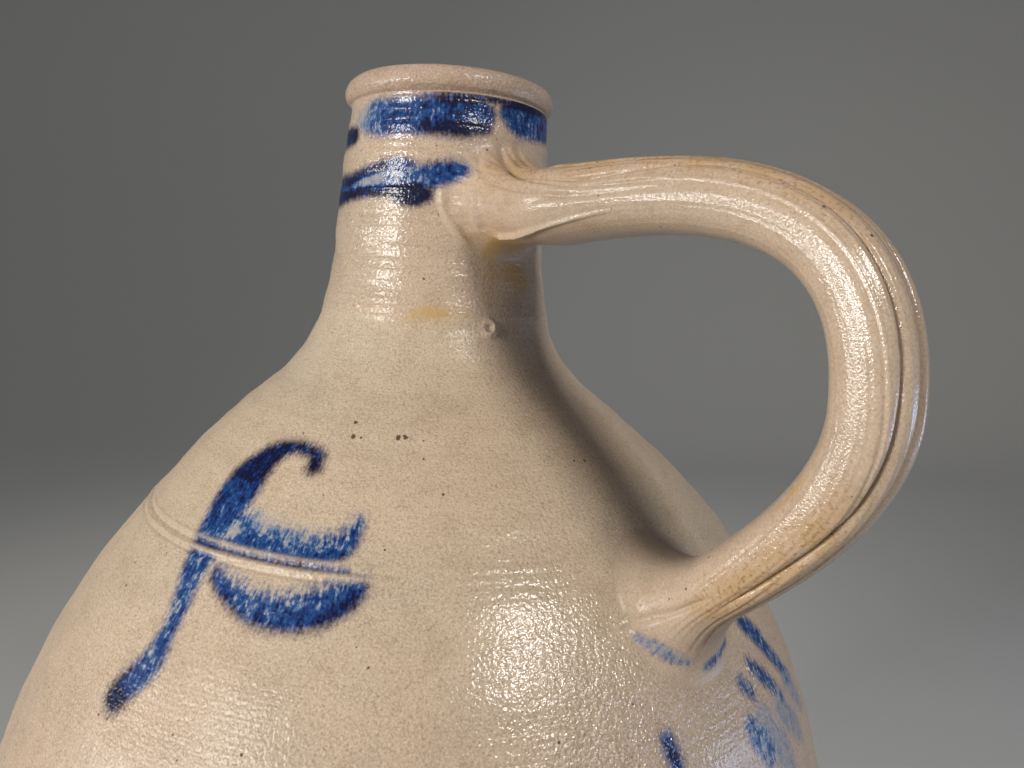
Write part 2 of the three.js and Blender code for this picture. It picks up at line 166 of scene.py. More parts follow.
def incised_strength(azimuth):
    """The two lines fade where the handle's end was smoothed down."""
    turn = np.degrees(azimuth)
    return 1 - LINE_WIPED_SHARE * eased(turn, -54, -40) * (1 - eased(turn, 40, 75))


def wall_relief(azimuth, run, radius, height):
    """Marks of the potter's hands: out of round, throwing rings, the incised lines, a clay wart."""
    oval, lobed = OUT_OF_ROUND
    swing = oval * np.sin(2 * azimuth + 0.6 + height / 70) + lobed * np.sin(3 * azimuth - height / 45)
    climb = run + RING_CLIMB * azimuth
    rings = NECK_RING_DEPTH * np.sin(climb / 1.35 + 1.3 * np.sin(run / 23)) * eased(height, 215, 330)
    rings = rings + BODY_RING_DEPTH * np.sin(climb / 2.9 + 0.8 * np.sin(run / 31))
    fine = FINE_RING_DEPTH * np.sin(climb / 0.37 + 2.2 * np.sin(run / 9)) * eased(height, 290, 325)
    low_line, high_line = INCISED_HEIGHTS
    lines = LOW_LINE_SHARE * bell(height, low_line, INCISED_SPREAD)
    lines = lines + bell(height, high_line, INCISED_SPREAD)
    burr = LOW_LINE_SHARE * bell(height, low_line + BURR_RISE, BURR_SPREAD)
    burr = burr + HIGH_BURR_SHARE * bell(height, high_line + BURR_RISE, BURR_SPREAD)
    lines = -INCISED_DEPTH * (lines - burr) * incised_strength(azimuth)
    wart_turn, wart_height = WART_PLACE
    across = (azimuth - wart_turn) * radius
    above = height - wart_height
    from_wart = np.hypot(across, above)
    open_side = 0.35 + 0.65 * eased(across - 0.6 * above, -1.5, 1.2)
    wart = WART_RISE * bell(from_wart, WART_RADIUS, WART_RADIUS / 2) * open_side
    return (swing + rings + fine) * eased(height, 0, 20) + lines + wart


def outline_at(run):
    return np.interp(run, outline_run, outline[:, 0]), np.interp(run, outline_run, outline[:, 1])


def leaned(radius, azimuth, height, level):
    lean = lean_at(level)
    across = radius * np.cos(azimuth) + lean * math.cos(LEAN_AZIMUTH)
    deep = radius * np.sin(azimuth) + lean * math.sin(LEAN_AZIMUTH)
    return np.stack(np.broadcast_arrays(across, deep, height), -1)


def wall_point(azimuth, run):
    """A point on the finished outside of the wall."""
    azimuth, run = np.broadcast_arrays(azimuth, run)
    radius, height = outline_at(run)
    up = np.interp(run, outline_run, outline_way[:, 1])
    inward = np.interp(run, outline_run, outline_way[:, 0])
    relief = wall_relief(azimuth, run, radius, height)
    return leaned(radius + relief * up, azimuth, height - relief * inward, height)


POLE_BAND = 0.02
SHARP_ANGLE = math.radians(60)


def skin(name, rings, loop=False, first=None, last=None):
    """A closed mesh over rings of points; loop joins the last ring to the first, or two poles close it."""
    rows, columns = rings.shape[:2]
    points = rings.reshape(-1, 3).tolist()
    spans = rows if loop else rows - 1
    row, column = np.meshgrid(np.arange(spans), np.arange(columns), indexing="ij")
    next_row = (row + 1) % rows
    next_column = (column + 1) % columns
    faces = np.stack([
        row * columns + column,
        row * columns + next_column,
        next_row * columns + next_column,
        next_row * columns + column], -1).reshape(-1, 4).tolist()
    across = np.stack([column, column + 1, column + 1, column], -1) / columns
    along = np.stack([row, row, row + 1, row + 1], -1) / spans
    places = np.stack([across, POLE_BAND + (1 - 2 * POLE_BAND) * along], -1).reshape(-1, 2).tolist()
    for pole, ring, edge, level in ((first, 0, POLE_BAND, 0.0), (last, rows - 1, 1 - POLE_BAND, 1.0)):
        if pole is None:
            continue
        middle = len(points)
        points.append(list(pole))
        for step in range(columns):
            pair = (step + 1, step) if ring == 0 else (step, step + 1)
            faces.append([ring * columns + corner % columns for corner in pair] + [middle])
            places += [[corner / columns, edge] for corner in pair] + [[(step + 0.5) / columns, level]]
    mesh = bpy.data.meshes.new(name)
    mesh.from_pydata((np.array(points) * MM).tolist(), [], faces)
    bake_map = mesh.uv_layers.new(name="OFBake")
    bake_map.data.foreach_set("uv", np.array(places, np.float32).ravel())
    mesh.shade_smooth()
    mesh.set_sharp_from_angle(angle=SHARP_ANGLE)
    piece = bpy.data.objects.new(name, mesh)
    bpy.context.scene.collection.objects.link(piece)
    return piece


def mark(piece, name, values):
    """Keeps a number for each point of a mesh, for its glaze to read; poles get the first one's."""
    values = np.asarray(values, np.float32)
    kind = "FLOAT" if values.ndim == 1 else "FLOAT_VECTOR"
    field = "value" if values.ndim == 1 else "vector"
    spare = len(piece.data.vertices) - len(values)
    if spare:
        values = np.concatenate([values, np.repeat(values[:1], spare, axis=0)])
    piece.data.attributes.new(name, kind, "POINT").data.foreach_set(field, values.ravel())


def put(tree, socket, value):
    if isinstance(value, bpy.types.NodeSocket):
        tree.links.new(value, socket)
    else:
        socket.default_value = value


def maths(tree, operation, *values):
    step = tree.nodes.new("ShaderNodeMath")
    step.operation = operation
    for socket, value in zip(step.inputs, values):
        put(tree, socket, value)
    return step.outputs[0]


def times(tree, first, second):
    return maths(tree, "MULTIPLY", first, second)


def plus(tree, first, second):
    return maths(tree, "ADD", first, second)


def ramp(tree, value, low, high, start=0.0, end=1.0):
    step = tree.nodes.new("ShaderNodeMapRange")
    step.interpolation_type = "SMOOTHSTEP"
    for socket, given in zip(step.inputs, (value, low, high, start, end)):
        put(tree, socket, given)
    return step.outputs[0]


def blended(tree, share, under, over):
    step = tree.nodes.new("ShaderNodeMix")
    step.data_type = "RGBA"
    put(tree, step.inputs[0], share)
    put(tree, step.inputs[6], under)
    put(tree, step.inputs[7], over)
    return step.outputs[2]


def grain(tree, place, scale, detail=2.0, rough=0.5):
    step = tree.nodes.new("ShaderNodeTexNoise")
    put(tree, step.inputs["Vector"], place)
    put(tree, step.inputs["Scale"], scale)
    put(tree, step.inputs["Detail"], detail)
    put(tree, step.inputs["Roughness"], rough)
    return step.outputs[0]


def specks(tree, place, scale, size, share):
    """Round specks in a share of the cells of a random lattice; size is in cells."""
    step = tree.nodes.new("ShaderNodeTexVoronoi")
    put(tree, step.inputs["Vector"], place)
    put(tree, step.inputs["Scale"], scale)
    split = tree.nodes.new("ShaderNodeSeparateColor")
    put(tree, split.inputs[0], step.outputs["Color"])
    chosen = maths(tree, "LESS_THAN", split.outputs[0], share)
    wide = times(tree, split.outputs[1], size)
    near = ramp(tree, step.outputs["Distance"], wide, times(tree, wide, 0.5))
    return times(tree, chosen, near)


def painted(tree, name, kind="Fac"):
    """What a piece's own marks say at each place."""
    step = tree.nodes.new("ShaderNodeAttribute")
    step.attribute_name = name
    return step.outputs[kind]


def colour(red, green, blue):
    return (red, green, blue, 1.0)


BUFF_CLAY = colour(0.585, 0.450, 0.322)
GREY_CLAY = colour(0.50, 0.41, 0.305)
PINK_CLAY = colour(0.46, 0.333, 0.256)
BROWN_GRAIN = colour(0.27, 0.185, 0.115)
PALE_GRAIN = colour(0.74, 0.62, 0.47)
IRON_SPECK = colour(0.055, 0.028, 0.016)
STRAW_SPECK = colour(0.74, 0.56, 0.32)
OCHRE_STAIN = colour(0.53, 0.33, 0.105)
# The brown and rust stain colours also colour painted shade over the handle strap's top.
BROWN_STAIN_AND_SHADE = colour(0.46, 0.29, 0.125)
RUST_STAIN_AND_SHADE = colour(0.30, 0.145, 0.045)
SALT_CRUST = colour(0.90, 0.82, 0.66)
BARE_CLAY = colour(0.50, 0.40, 0.29)
COBALT_WASH = colour(0.19, 0.25, 0.34)
COBALT_PALE = colour(0.078, 0.150, 0.29)
COBALT_BLUE = colour(0.011, 0.056, 0.195)
COBALT_DEEP = colour(0.003, 0.017, 0.105)
COBALT_BLACK = colour(0.002, 0.003, 0.026)
COBALT_LEVELS = [
    (-0.05, 0.25, COBALT_PALE), (0.16, 0.46, COBALT_BLUE),
    (0.45, 0.80, COBALT_DEEP), (0.72, 1.02, COBALT_BLACK)]
CLAY_SPECULAR = 0.14
GLAZE_ROUGHNESS = 0.15
BARE_ROUGHNESS = 0.85
PEEL_DEPTH = 0.00028
PEEL_STRENGTH = 0.6
THROWING_STRETCH = (60.0, 60.0, 1100.0)


def salt_glaze(name, iron_marks=(), peel_scale=1250.0, run_scale=700.0, turned=0.8, peel_depth=PEEL_DEPTH,
               grainy=1.0):
    """Clay under salt glaze, with the cobalt, stains and painted shade that the piece's own marks place."""
    material = bpy.data.materials.new(name)
    material.use_nodes = True
    tree = material.node_tree
    shader = tree.nodes["Principled BSDF"]
    place = tree.nodes.new("ShaderNodeTexCoord").outputs["Object"]
    flow = painted(tree, "flow", "Vector")
    salt = painted(tree, "salt")
    mottle = grain(tree, place, 16.0, 3.0, 0.55)
    soft = grain(tree, place, 140.0, 2.0, 0.6)
    fine = grain(tree, place, 1300.0, 2.0, 0.6)
    grit = grain(tree, place, 2300.0, 1.0, 0.5)
    pool = grain(tree, place, 420.0, 2.0, 0.5)
    hairs = grain(tree, flow, 1250.0, 2.0, 0.6)
    clay = blended(tree, ramp(tree, mottle, 0.35, 0.68), BUFF_CLAY, GREY_CLAY)
    # The blush mark tints the clay pink, and on the handle it also carries painted shade over the strap's
    # top.
    clay = blended(tree, painted(tree, "blush_and_strap_shade"), clay, PINK_CLAY)
    grains = [
        (soft, 0.42, 0.75, 0.22, BROWN_GRAIN), (fine, 0.52, 0.76, 0.45 * grainy, BROWN_GRAIN),
        (grit, 0.52, 0.74, 0.50 * grainy, BROWN_GRAIN), (grit, 0.46, 0.30, 0.40 * grainy, PALE_GRAIN)]
    for noise, low, high, most, tint in grains:
        clay = blended(tree, ramp(tree, noise, low, high, 0.0, most), clay, tint)
    clay = blended(tree, specks(tree, place, 190.0, 0.14, 0.20), clay, STRAW_SPECK)

    ochre = times(tree, painted(tree, "ochre"), ramp(tree, soft, 0.3, 0.62))
    clay = blended(tree, times(tree, ochre, 0.75), clay, OCHRE_STAIN)
    # The rust mark carries real rust, and on the handle also painted shade that darkens the strap's top.
    rust_and_strap_shade = painted(tree, "rust_and_strap_shade")
    clay = blended(tree, times(tree, rust_and_strap_shade, ramp(tree, soft, 0.30, 0.60, 0.15, 0.65)), clay, BROWN_STAIN_AND_SHADE)
    clay = blended(tree, times(tree, rust_and_strap_shade, ramp(tree, fine, 0.50, 0.70, 0.0, 0.75)), clay, RUST_STAIN_AND_SHADE)

    spread = maths(tree, "SUBTRACT", hairs, 0.5)
    speckle = maths(tree, "SUBTRACT", fine, 0.5)
    field = painted(tree, "cobalt")
    feather = painted(tree, "cobalt_feather")
    field = plus(tree, field, times(tree, spread, feather))
    field = plus(tree, field, times(tree, speckle, 1.4))
    brushed = painted(tree, "cobalt_load")
    uneven = plus(tree, times(tree, spread, 1.35), times(tree, speckle, 1.0))
    uneven = plus(tree, uneven, ramp(tree, pool, 0.35, 0.65, -0.18, 0.18))
    uneven = times(tree, uneven, ramp(tree, brushed, 0.0, 0.40, 0.35, 1.0))
    load = plus(tree, brushed, uneven)
    edge = plus(tree, 0.9, times(tree, feather, 0.35))
    inside = ramp(tree, field, times(tree, edge, -1.0), edge)
    cover = times(tree, inside, ramp(tree, load, -0.2, 0.35, 0.38, 1.0))
    slip = COBALT_WASH
    for low, high, deeper in COBALT_LEVELS:
        slip = blended(tree, ramp(tree, load, low, high), slip, deeper)
    # Pale clay over the cobalt on the lines' raised edges is a painted highlight.
    line_highlight = maths(tree, "SUBTRACT", 1.0, painted(tree, "line_highlight"))
    glazed = blended(tree, times(tree, cover, line_highlight), clay, slip)

    spots = specks(tree, place, 140.0, 0.08, 0.25)
    iron = maths(tree, "MAXIMUM", spots, specks(tree, place, 300.0, 0.13, 0.40))
    for iron_middle, iron_size in iron_marks:
        from_middle = tree.nodes.new("ShaderNodeVectorMath")
        from_middle.operation = "DISTANCE"
        put(tree, from_middle.inputs[0], place)
        put(tree, from_middle.inputs[1], iron_middle)
        away = plus(tree, from_middle.outputs["Value"], times(tree, speckle, 2.0 * iron_size))
        iron = maths(tree, "MAXIMUM", iron, ramp(tree, away, iron_size, 0.6 * iron_size))
    glazed = blended(tree, times(tree, iron, 0.9), glazed, IRON_SPECK)
    crust = ramp(tree, painted(tree, "crust"), 0.15, 0.5)
    crust = times(tree, crust, specks(tree, place, 1300.0, 0.75, 0.5))
    glazed = blended(tree, crust, glazed, SALT_CRUST)
    bare = painted(tree, "bare")
    put(tree, shader.inputs["Base Color"], blended(tree, bare, glazed, BARE_CLAY))

    gloss = ramp(tree, soft, 0.3, 0.7, 0.56, 0.46)
    put(tree, shader.inputs["Roughness"], maths(tree, "MAXIMUM", gloss, times(tree, bare, BARE_ROUGHNESS)))
    shader.inputs["Specular IOR Level"].default_value = CLAY_SPECULAR
    coat = times(tree, maths(tree, "SUBTRACT", 1.0, bare), ramp(tree, salt, 0.0, 0.5, 0.1, 1.0))
    put(tree, shader.inputs["Coat Weight"], coat)
    shader.inputs["Coat Roughness"].default_value = GLAZE_ROUGHNESS

    dimples = grain(tree, place, peel_scale, 1.0, 0.5)
    heavy = ramp(tree, salt, 0.35, 1.0, 0.0, 2.2)
    dimples = times(tree, dimples, plus(tree, 1.0, heavy))
    runs = grain(tree, flow, run_scale, 1.0, 0.5)
    peel = plus(tree, dimples, times(tree, runs, plus(tree, 0.3, heavy)))
    along_the_turn = tree.nodes.new("ShaderNodeVectorMath")
    along_the_turn.operation = "MULTIPLY"
    put(tree, along_the_turn.inputs[0], place)
    put(tree, along_the_turn.inputs[1], THROWING_STRETCH)
    throwing = grain(tree, along_the_turn.outputs[0], 1.0, 1.0, 0.5)
    peel = plus(tree, peel, times(tree, throwing, turned))
    bump = tree.nodes.new("ShaderNodeBump")
    put(tree, bump.inputs["Height"], plus(tree, peel, times(tree, crust, 1.2)))
    bump.inputs["Strength"].default_value = PEEL_STRENGTH
    bump.inputs["Distance"].default_value = peel_depth
    put(tree, shader.inputs["Normal"], bump.outputs[0])
    put(tree, shader.inputs["Coat Normal"], bump.outputs[0])
    return material


FRONT_EDGES = (math.radians(-128), math.radians(42))
DRAWN_OUT = 2.6
BODY_FLOW_RADIUS = 90.0
FOOT_STEPS = 5
LOWER_RINGS = 90
LOWER_INNER_RINGS = 16
LOWER_BLUSH = 0.35
NO_SLIP = -5.0


def turns_round(front, rest):
    """Azimuths round the jug, closer together on the brushed side."""
    start, end = FRONT_EDGES
    near = np.linspace(start, end, front, endpoint=False)
    far = np.linspace(end, start + 2 * math.pi, rest, endpoint=False)
    return np.concatenate([near, far])


def salt_at(azimuth, height):
    """How heavily the salt lay: most left of the handle's foot, and a little more on the neck."""
    turn = np.degrees(azimuth)
    heavy = bell(turn, -18, 15) * bell(height, 225, 34)
    neck = 0.16 * eased(height, 300, 325) - 0.06 * eased(height, lip_foot - 1, lip_foot + 1)
    return np.clip(0.12 + 0.85 * heavy + neck, 0, 1)


def flow_at(azimuth, run, radius, drawn_out=DRAWN_OUT):
    """Places for streaks that run downhill: round the clay as it is, and drawn out along it."""
    places = np.broadcast_arrays(radius * np.cos(azimuth), radius * np.sin(azimuth), run / drawn_out)
    return np.stack(places, -1).reshape(-1, 3) * MM


def plain_rings(turns, radii, heights):
    """Smooth rings for the inside of a wall."""
    return np.stack([leaned(radius, turns, height, height) for radius, height in zip(radii, heights)])


lower_turns = turns_round(150, 130)
lower_run = np.linspace(run_at(FOOT_ROUND), run_at(BELLY_HEIGHT), LOWER_RINGS)
lower_wall = wall_point(lower_turns[None, :], lower_run[:, None])
round_angles = np.linspace(0, math.pi / 2, FOOT_STEPS, endpoint=False)
foot_radius = outline_at(run_at(FOOT_ROUND))[0]
foot_rings = [leaned(foot_radius - FOOT_ROUND * (1 - math.sin(angle)), lower_turns,
                     FOOT_ROUND * (1 - math.cos(angle)), 0.0) for angle in round_angles]
under_rings = [leaned(share * foot_radius, lower_turns, 0.0, 0.0) for share in (0.3, 0.6, 0.85)]
inner_heights = np.linspace(BELLY_HEIGHT, FLOOR, LOWER_INNER_RINGS)
inner_radii = np.interp(inner_heights, outline[:, 1], outline[:, 0]) - WALL
inner_rings = plain_rings(lower_turns, inner_radii, inner_heights)
floor_rings = [leaned(share * inner_radii[-1], lower_turns, FLOOR, 0.0) for share in (0.7, 0.35)]
lower_rings = np.concatenate([under_rings, foot_rings, lower_wall, inner_rings, floor_rings])
lower_body = skin("lower_body_wall", lower_rings, first=(0, 0, 0), last=(0, 0, FLOOR))
lower_levels = lower_rings[..., 2]
lower_azimuths = np.broadcast_to(lower_turns, lower_levels.shape)
bare_rows = np.ones(len(lower_rings))
bare_rows[len(under_rings):len(under_rings) + len(foot_rings) + len(lower_wall)] = 0
mark(lower_body, "bare", np.repeat(bare_rows, len(lower_turns)))
mark(lower_body, "salt", salt_at(lower_azimuths, lower_levels).ravel())
mark(lower_body, "blush_and_strap_shade", np.full(lower_levels.size, LOWER_BLUSH))
mark(lower_body, "flow", flow_at(lower_azimuths, lower_levels, BODY_FLOW_RADIUS))
mark(lower_body, "cobalt", np.full(lower_levels.size, NO_SLIP))
lower_body.data.materials.append(salt_glaze("lower_wall_glaze"))
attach(lower_body, "root")
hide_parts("lower_body")

# Upper body: the shoulder, thrown as a second ring and luted to the bowl at the belly.
# Two lines were cut round it while it turned, then a leaf and a flower were brushed on in cobalt.
# The raised edges of the lines are painted pale through the leaf, a painted highlight.
NECK_SEAM_DROP = 14.5
UPPER_INNER_RINGS = 12
neck_seam = neck_foot - NECK_SEAM_DROP


def smooth_line(points, steps=14):
    """A smooth curve through points, each span bent by its neighbours."""
    points = np.array(points, float)
    ends = np.vstack([2 * points[0] - points[1], points, 2 * points[-1] - points[-2]])
    share = np.linspace(0, 1, steps, endpoint=False)[:, None]
    made = []
    for before, start, end, after in zip(ends, ends[1:], ends[2:], ends[3:]):
        made.append(0.5 * (2 * start + (end - before) * share
                           + (2 * before - 5 * start + 4 * end - after) * share**2
                           + (3 * start - 3 * end + after - before) * share**3))
    return np.vstack(made + [points[-1:]])


BLEED = 0.55
LEAST_HALF_WIDTH = 0.2
STROKE_MARGIN = 5


class Brushwork:
    """Cobalt on one wall: how far inside a stroke each point lies, and how much slip is there."""

    def __init__(self, azimuth, run, radius):
        self.azimuth = azimuth.ravel()
        self.run = run.ravel()
        self.radius = radius.ravel()
        self.field = np.full(self.run.size, NO_SLIP)
        self.load = np.zeros(self.run.size)
        self.feather = np.ones(self.run.size)

    def stroke(self, marks, above=1.2, below=1.2, pooled=0.0):
        """marks hold azimuth, height, half width and load; above and below feather the two edges."""
        line = smooth_line(marks)
        turns = np.radians(line[:, 0])
        runs = run_at(line[:, 1])
        halves = np.maximum(line[:, 2], LEAST_HALF_WIDTH) + BLEED
        margin = halves.max() + STROKE_MARGIN
        reach = margin / self.radius.min()
        close = np.flatnonzero(
            (self.azimuth > turns.min() - reach) & (self.azimuth < turns.max() + reach)
            & (self.run > runs.min() - margin) & (self.run < runs.max() + margin))
        across = (self.azimuth[close, None] - turns) * self.radius[close, None]
        along = self.run[close, None] - runs
        inside = halves - np.hypot(across, along)
        best = inside.argmax(axis=1)
        rows = np.arange(len(close))
        depth = inside[rows, best]
        way_across = np.gradient(turns)[best] * self.radius[close]
        way_along = np.gradient(runs)[best]
        side = way_across * along[rows, best] - way_along * across[rows, best]
        downhill = np.where(way_across > 0, -side, side)
        downhill = downhill / (np.hypot(way_across, way_along) * halves[best] + 1e-9)
        load = line[best, 3] + pooled * np.clip(downhill, -1, 1)
        feather = above + (below - above) * eased(downhill, -0.8, 0.4)
        old_field, old_load = self.field[close], self.load[close]
        nearer = depth > old_field
        over_old = load + np.maximum(old_load - load, 0) * eased(old_field, -0.5, 0.5)
        under_old = old_load + np.maximum(load - old_load, 0) * eased(depth, -0.5, 0.5)
        self.load[close] = np.where(nearer, over_old, under_old)
        self.feather[close] = np.where(nearer, feather, self.feather[close])
        self.field[close] = np.maximum(depth, old_field)

    def thin(self, turn, height, size, share):
        """Takes slip away where the brush ran dry."""
        across = (self.azimuth - math.radians(turn)) * self.radius
        self.load -= share * bell(np.hypot(across, self.run - run_at(height)), 0, size)


def mark_cobalt(piece, brush, clear):
    mark(piece, "cobalt", np.where(clear, NO_SLIP, brush.field))
    mark(piece, "cobalt_load", brush.load)
    mark(piece, "cobalt_feather", brush.feather)


LEAF_STEM = [
    (-63.0, 278.5, 1.6, 1.0), (-63.5, 280.5, 1.6, 1.0), (-66.0, 281.3, 1.4, 1.0),
    (-70.0, 281.5, 1.5, 0.95), (-74.0, 280.2, 2.6, 0.95), (-76.0, 278.0, 3.8, 1.0),
    (-77.3, 275.5, 4.8, 0.95), (-78.0, 272.0, 5.5, 0.7), (-78.4, 268.0, 4.8, 0.55),
    (-78.3, 264.5, 4.2, 0.5), (-77.5, 260.5, 3.6, 0.45), (-76.8, 256.0, 2.7, 0.42),
    (-75.8, 252.0, 2.0, 0.4), (-75.6, 248.0, 1.8, 0.4), (-75.5, 244.0, 2.7, 0.45),
    (-76.5, 241.0, 2.8, 0.5), (-78.0, 238.2, 3.0, 0.8), (-78.7, 236.5, 3.0, 1.05)]
LEAF_UPPER = [
    (-75.0, 266.5, 3.5, 0.4), (-71.0, 266.3, 4.0, 0.36), (-66.0, 265.8, 3.4, 0.30),
    (-60.0, 265.3, 3.1, 0.32), (-55.5, 265.6, 3.0, 0.42), (-53.0, 266.6, 2.4, 0.45),
    (-51.8, 268.6, 1.5, 0.4), (-51.0, 270.3, 0.8, 0.3)]
LEAF_LOWER = [
    (-72.5, 258.6, 1.3, 0.5), (-70.0, 257.3, 1.8, 0.5), (-67.0, 256.2, 2.3, 0.45),
    (-63.5, 255.3, 2.9, 0.45), (-60.0, 255.2, 3.2, 0.5), (-56.5, 256.0, 3.6, 0.58),
    (-53.0, 257.6, 3.7, 0.62), (-50.5, 259.3, 2.6, 0.6), (-49.3, 260.6, 1.2, 0.6)]
LEAF_LINE = [(-80.0, 262.5, 0.5, 0.75), (-65.0, 262.5, 0.5, 0.7), (-52.0, 262.5, 0.4, 0.6)]
FLOWER_LONG = [
    (13.5, 244.0, 1.6, 0.4), (16.5, 240.0, 2.3, 0.45), (18.5, 235.5, 1.9, 0.4), (21.0, 230.5, 1.7, 0.35),
    (24.0, 224.0, 1.6, 0.05), (25.0, 220.0, 1.4, 0.0)]
FLOWER_SHORT = [
    (10.3, 237.3, 1.0, 0.35), (12.5, 234.0, 1.6, 0.45), (14.5, 230.5, 1.5, 0.4),
    (17.0, 225.0, 1.4, 0.05)]
FLOWER_TOUCH = [(6.5, 235.5, 1.1, 0.4), (8.0, 233.0, 1.2, 0.4)]
# The petal's slip is given thin, so it reads pale; part of that paleness is painted light, for cool light
# falling on the jug's right side.
FLOWER_PETAL_PAINTED_LIGHT = [(5.0, 228.0, 2.0, 0.25), (6.0, 225.0, 2.5, 0.35), (7.5, 221.5, 2.4, 0.3)]
FLOWER_DAB = [(-10.2, 233.5, 1.3, 0.65), (-10.0, 231.5, 1.6, 0.75), (-9.7, 229.5, 1.5, 0.7)]
FLOWER_WASHES = [
    [(8.5, 227.0, 3.2, 0.0), (10.5, 221.5, 4.0, 0.05), (12.5, 216.0, 3.6, 0.0)],
    [(14.0, 226.0, 2.4, 0.0), (17.0, 221.5, 3.0, 0.05), (19.5, 217.5, 2.6, 0.0)],
    [(20.0, 228.0, 2.0, 0.0), (23.0, 223.5, 2.5, 0.05), (25.5, 219.0, 2.2, 0.0)]]
ROUND_THE_FOOT = [
    [(-8.8, 249.8, 0.4, 0.1), (-7.3, 248.3, 0.9, 0.15), (-5.3, 246.2, 0.7, 0.12), (-3.3, 244.8, 0.3, 0.08)],
    [(0.5, 242.5, 0.6, 0.25), (3.0, 243.0, 1.0, 0.35), (7.0, 244.4, 0.5, 0.35)]]
IRON_PLACES = [
    (-56.6, 284.6, 0.75), (-57.4, 287.2, 0.6), (-45.6, 285.0, 0.7), (-43.9, 285.1, 0.7),
    (-39.5, 281.5, 0.3)]
CRUST_PLACES = [
    (9.5, 235.0, 2.4), (-2.0, 233.5, 2.4), (-4.0, 229.5, 2.2), (-11.0, 251.6, 1.8), (-12.5, 253.0, 1.4),
    (-48.2, 259.9, 0.7)]


def rings_between(low, high, step, fine_step, fine_spans):
    """Distances up the wall, closer together in the named spans."""
    run = low
    made = [low]
    while run < high:
        near = any(start <= run <= end for start, end in fine_spans)
        run += fine_step if near else step
        made.append(run)
    made[-1] = high
    return np.array(made)


def wall_grids(turns, runs):
    """Azimuth, distance up the wall, radius and height at every point of a thrown ring."""
    turn_grid, run_grid = np.meshgrid(turns, runs)
    return turn_grid, run_grid, *outline_at(run_grid)


def crust_at(azimuth, radius, height):
    """Patches of salt crust at an azimuth and a height, each with its own size."""
    found = np.zeros(azimuth.shape)
    for patch_turn, patch_height, patch_size in CRUST_PLACES:
        across = (azimuth - math.radians(patch_turn)) * radius
        found += bell(np.hypot(across, height - patch_height), 0, patch_size)
    return np.clip(found, 0, 1).ravel()


def seam_stain(azimuth, height):
    """Ochre round the neck's seam, where the luting slip came through."""
    return bell(height, neck_seam + 0.5, 1.6) * bell(np.degrees(azimuth), -42, 22)


upper_turns = turns_round(290, 110)
line_span = (run_at(INCISED_HEIGHTS[0] - 1.6), run_at(INCISED_HEIGHTS[1] + 2.2))
wart_span = (run_at(WART_PLACE[1] - 3.0), run_at(neck_seam))
upper_run = rings_between(run_at(BELLY_HEIGHT), run_at(neck_seam), 1.0, 0.24, [line_span, wart_span])
upper_wall = wall_point(upper_turns[None, :], upper_run[:, None])
inner_run = np.linspace(upper_run[-1], upper_run[0], UPPER_INNER_RINGS)
inner_radii, inner_heights = outline_at(inner_run)
upper_rings = np.concatenate([upper_wall, plain_rings(upper_turns, inner_radii - WALL, inner_heights)])
upper_body = skin("upper_body_wall", upper_rings, loop=True)
upper_runs = np.concatenate([upper_run, inner_run])
turn_grid, run_grid, radius_grid, height_grid = wall_grids(upper_turns, upper_runs)
shoulder_brush = Brushwork(turn_grid, run_grid, radius_grid)
shoulder_brush.stroke(LEAF_STEM, above=2.4, below=2.4)
shoulder_brush.stroke(LEAF_UPPER, above=5.0, below=2.0, pooled=0.22)
shoulder_brush.stroke(LEAF_LOWER, above=5.0, below=2.0, pooled=0.3)
shoulder_brush.thin(-74.0, 265.5, 2.4, 0.5)
shoulder_brush.thin(-68.0, 268.5, 2.6, 0.25)
shoulder_brush.stroke(LEAF_LINE)
for flower_wash in FLOWER_WASHES:
    shoulder_brush.stroke(flower_wash, above=3.0, below=3.0)
# The petal stroke's thin slip partly paints cool light on the right side.
for flower_stroke in (FLOWER_LONG, FLOWER_SHORT, FLOWER_TOUCH, FLOWER_PETAL_PAINTED_LIGHT, FLOWER_DAB, *ROUND_THE_FOOT):
    shoulder_brush.stroke(flower_stroke, above=2.0, below=2.0)
inside_wall = np.repeat(np.arange(len(upper_rings)) >= len(upper_run), len(upper_turns))
# The tops of the lines' raised edges, where a highlight is painted pale.
line_tops = bell(height_grid, INCISED_HEIGHTS[0] + BURR_RISE, 0.45)
line_tops = line_tops + 0.6 * bell(height_grid, INCISED_HEIGHTS[1] + BURR_RISE, 0.35)
mark_cobalt(upper_body, shoulder_brush, inside_wall)
mark(upper_body, "crust", crust_at(turn_grid, radius_grid, height_grid))
mark(upper_body, "line_highlight", np.clip(0.95 * line_tops * incised_strength(turn_grid), 0, 1).ravel())
mark(upper_body, "ochre", seam_stain(turn_grid, height_grid).ravel())
mark(upper_body, "salt", salt_at(turn_grid, height_grid).ravel())
mark(upper_body, "blush_and_strap_shade", (0.5 * eased(height_grid, 262, 215)).ravel())
mark(upper_body, "bare", inside_wall.astype(float))
mark(upper_body, "flow", flow_at(turn_grid, run_grid, BODY_FLOW_RADIUS))
iron_marks = []
for iron_turn, iron_height, iron_size in IRON_PLACES:
    iron_middle = wall_point(math.radians(iron_turn), run_at(iron_height))
    iron_marks.append((iron_middle * MM, iron_size * MM))
upper_body.data.materials.append(salt_glaze("shoulder_glaze", iron_marks))
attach(upper_body, "root")
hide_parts("upper_body", "leaf_stem", "leaf_upper", "leaf_lower",
            "flower_long", "flower_short", "flower_petal", "flower_dab")

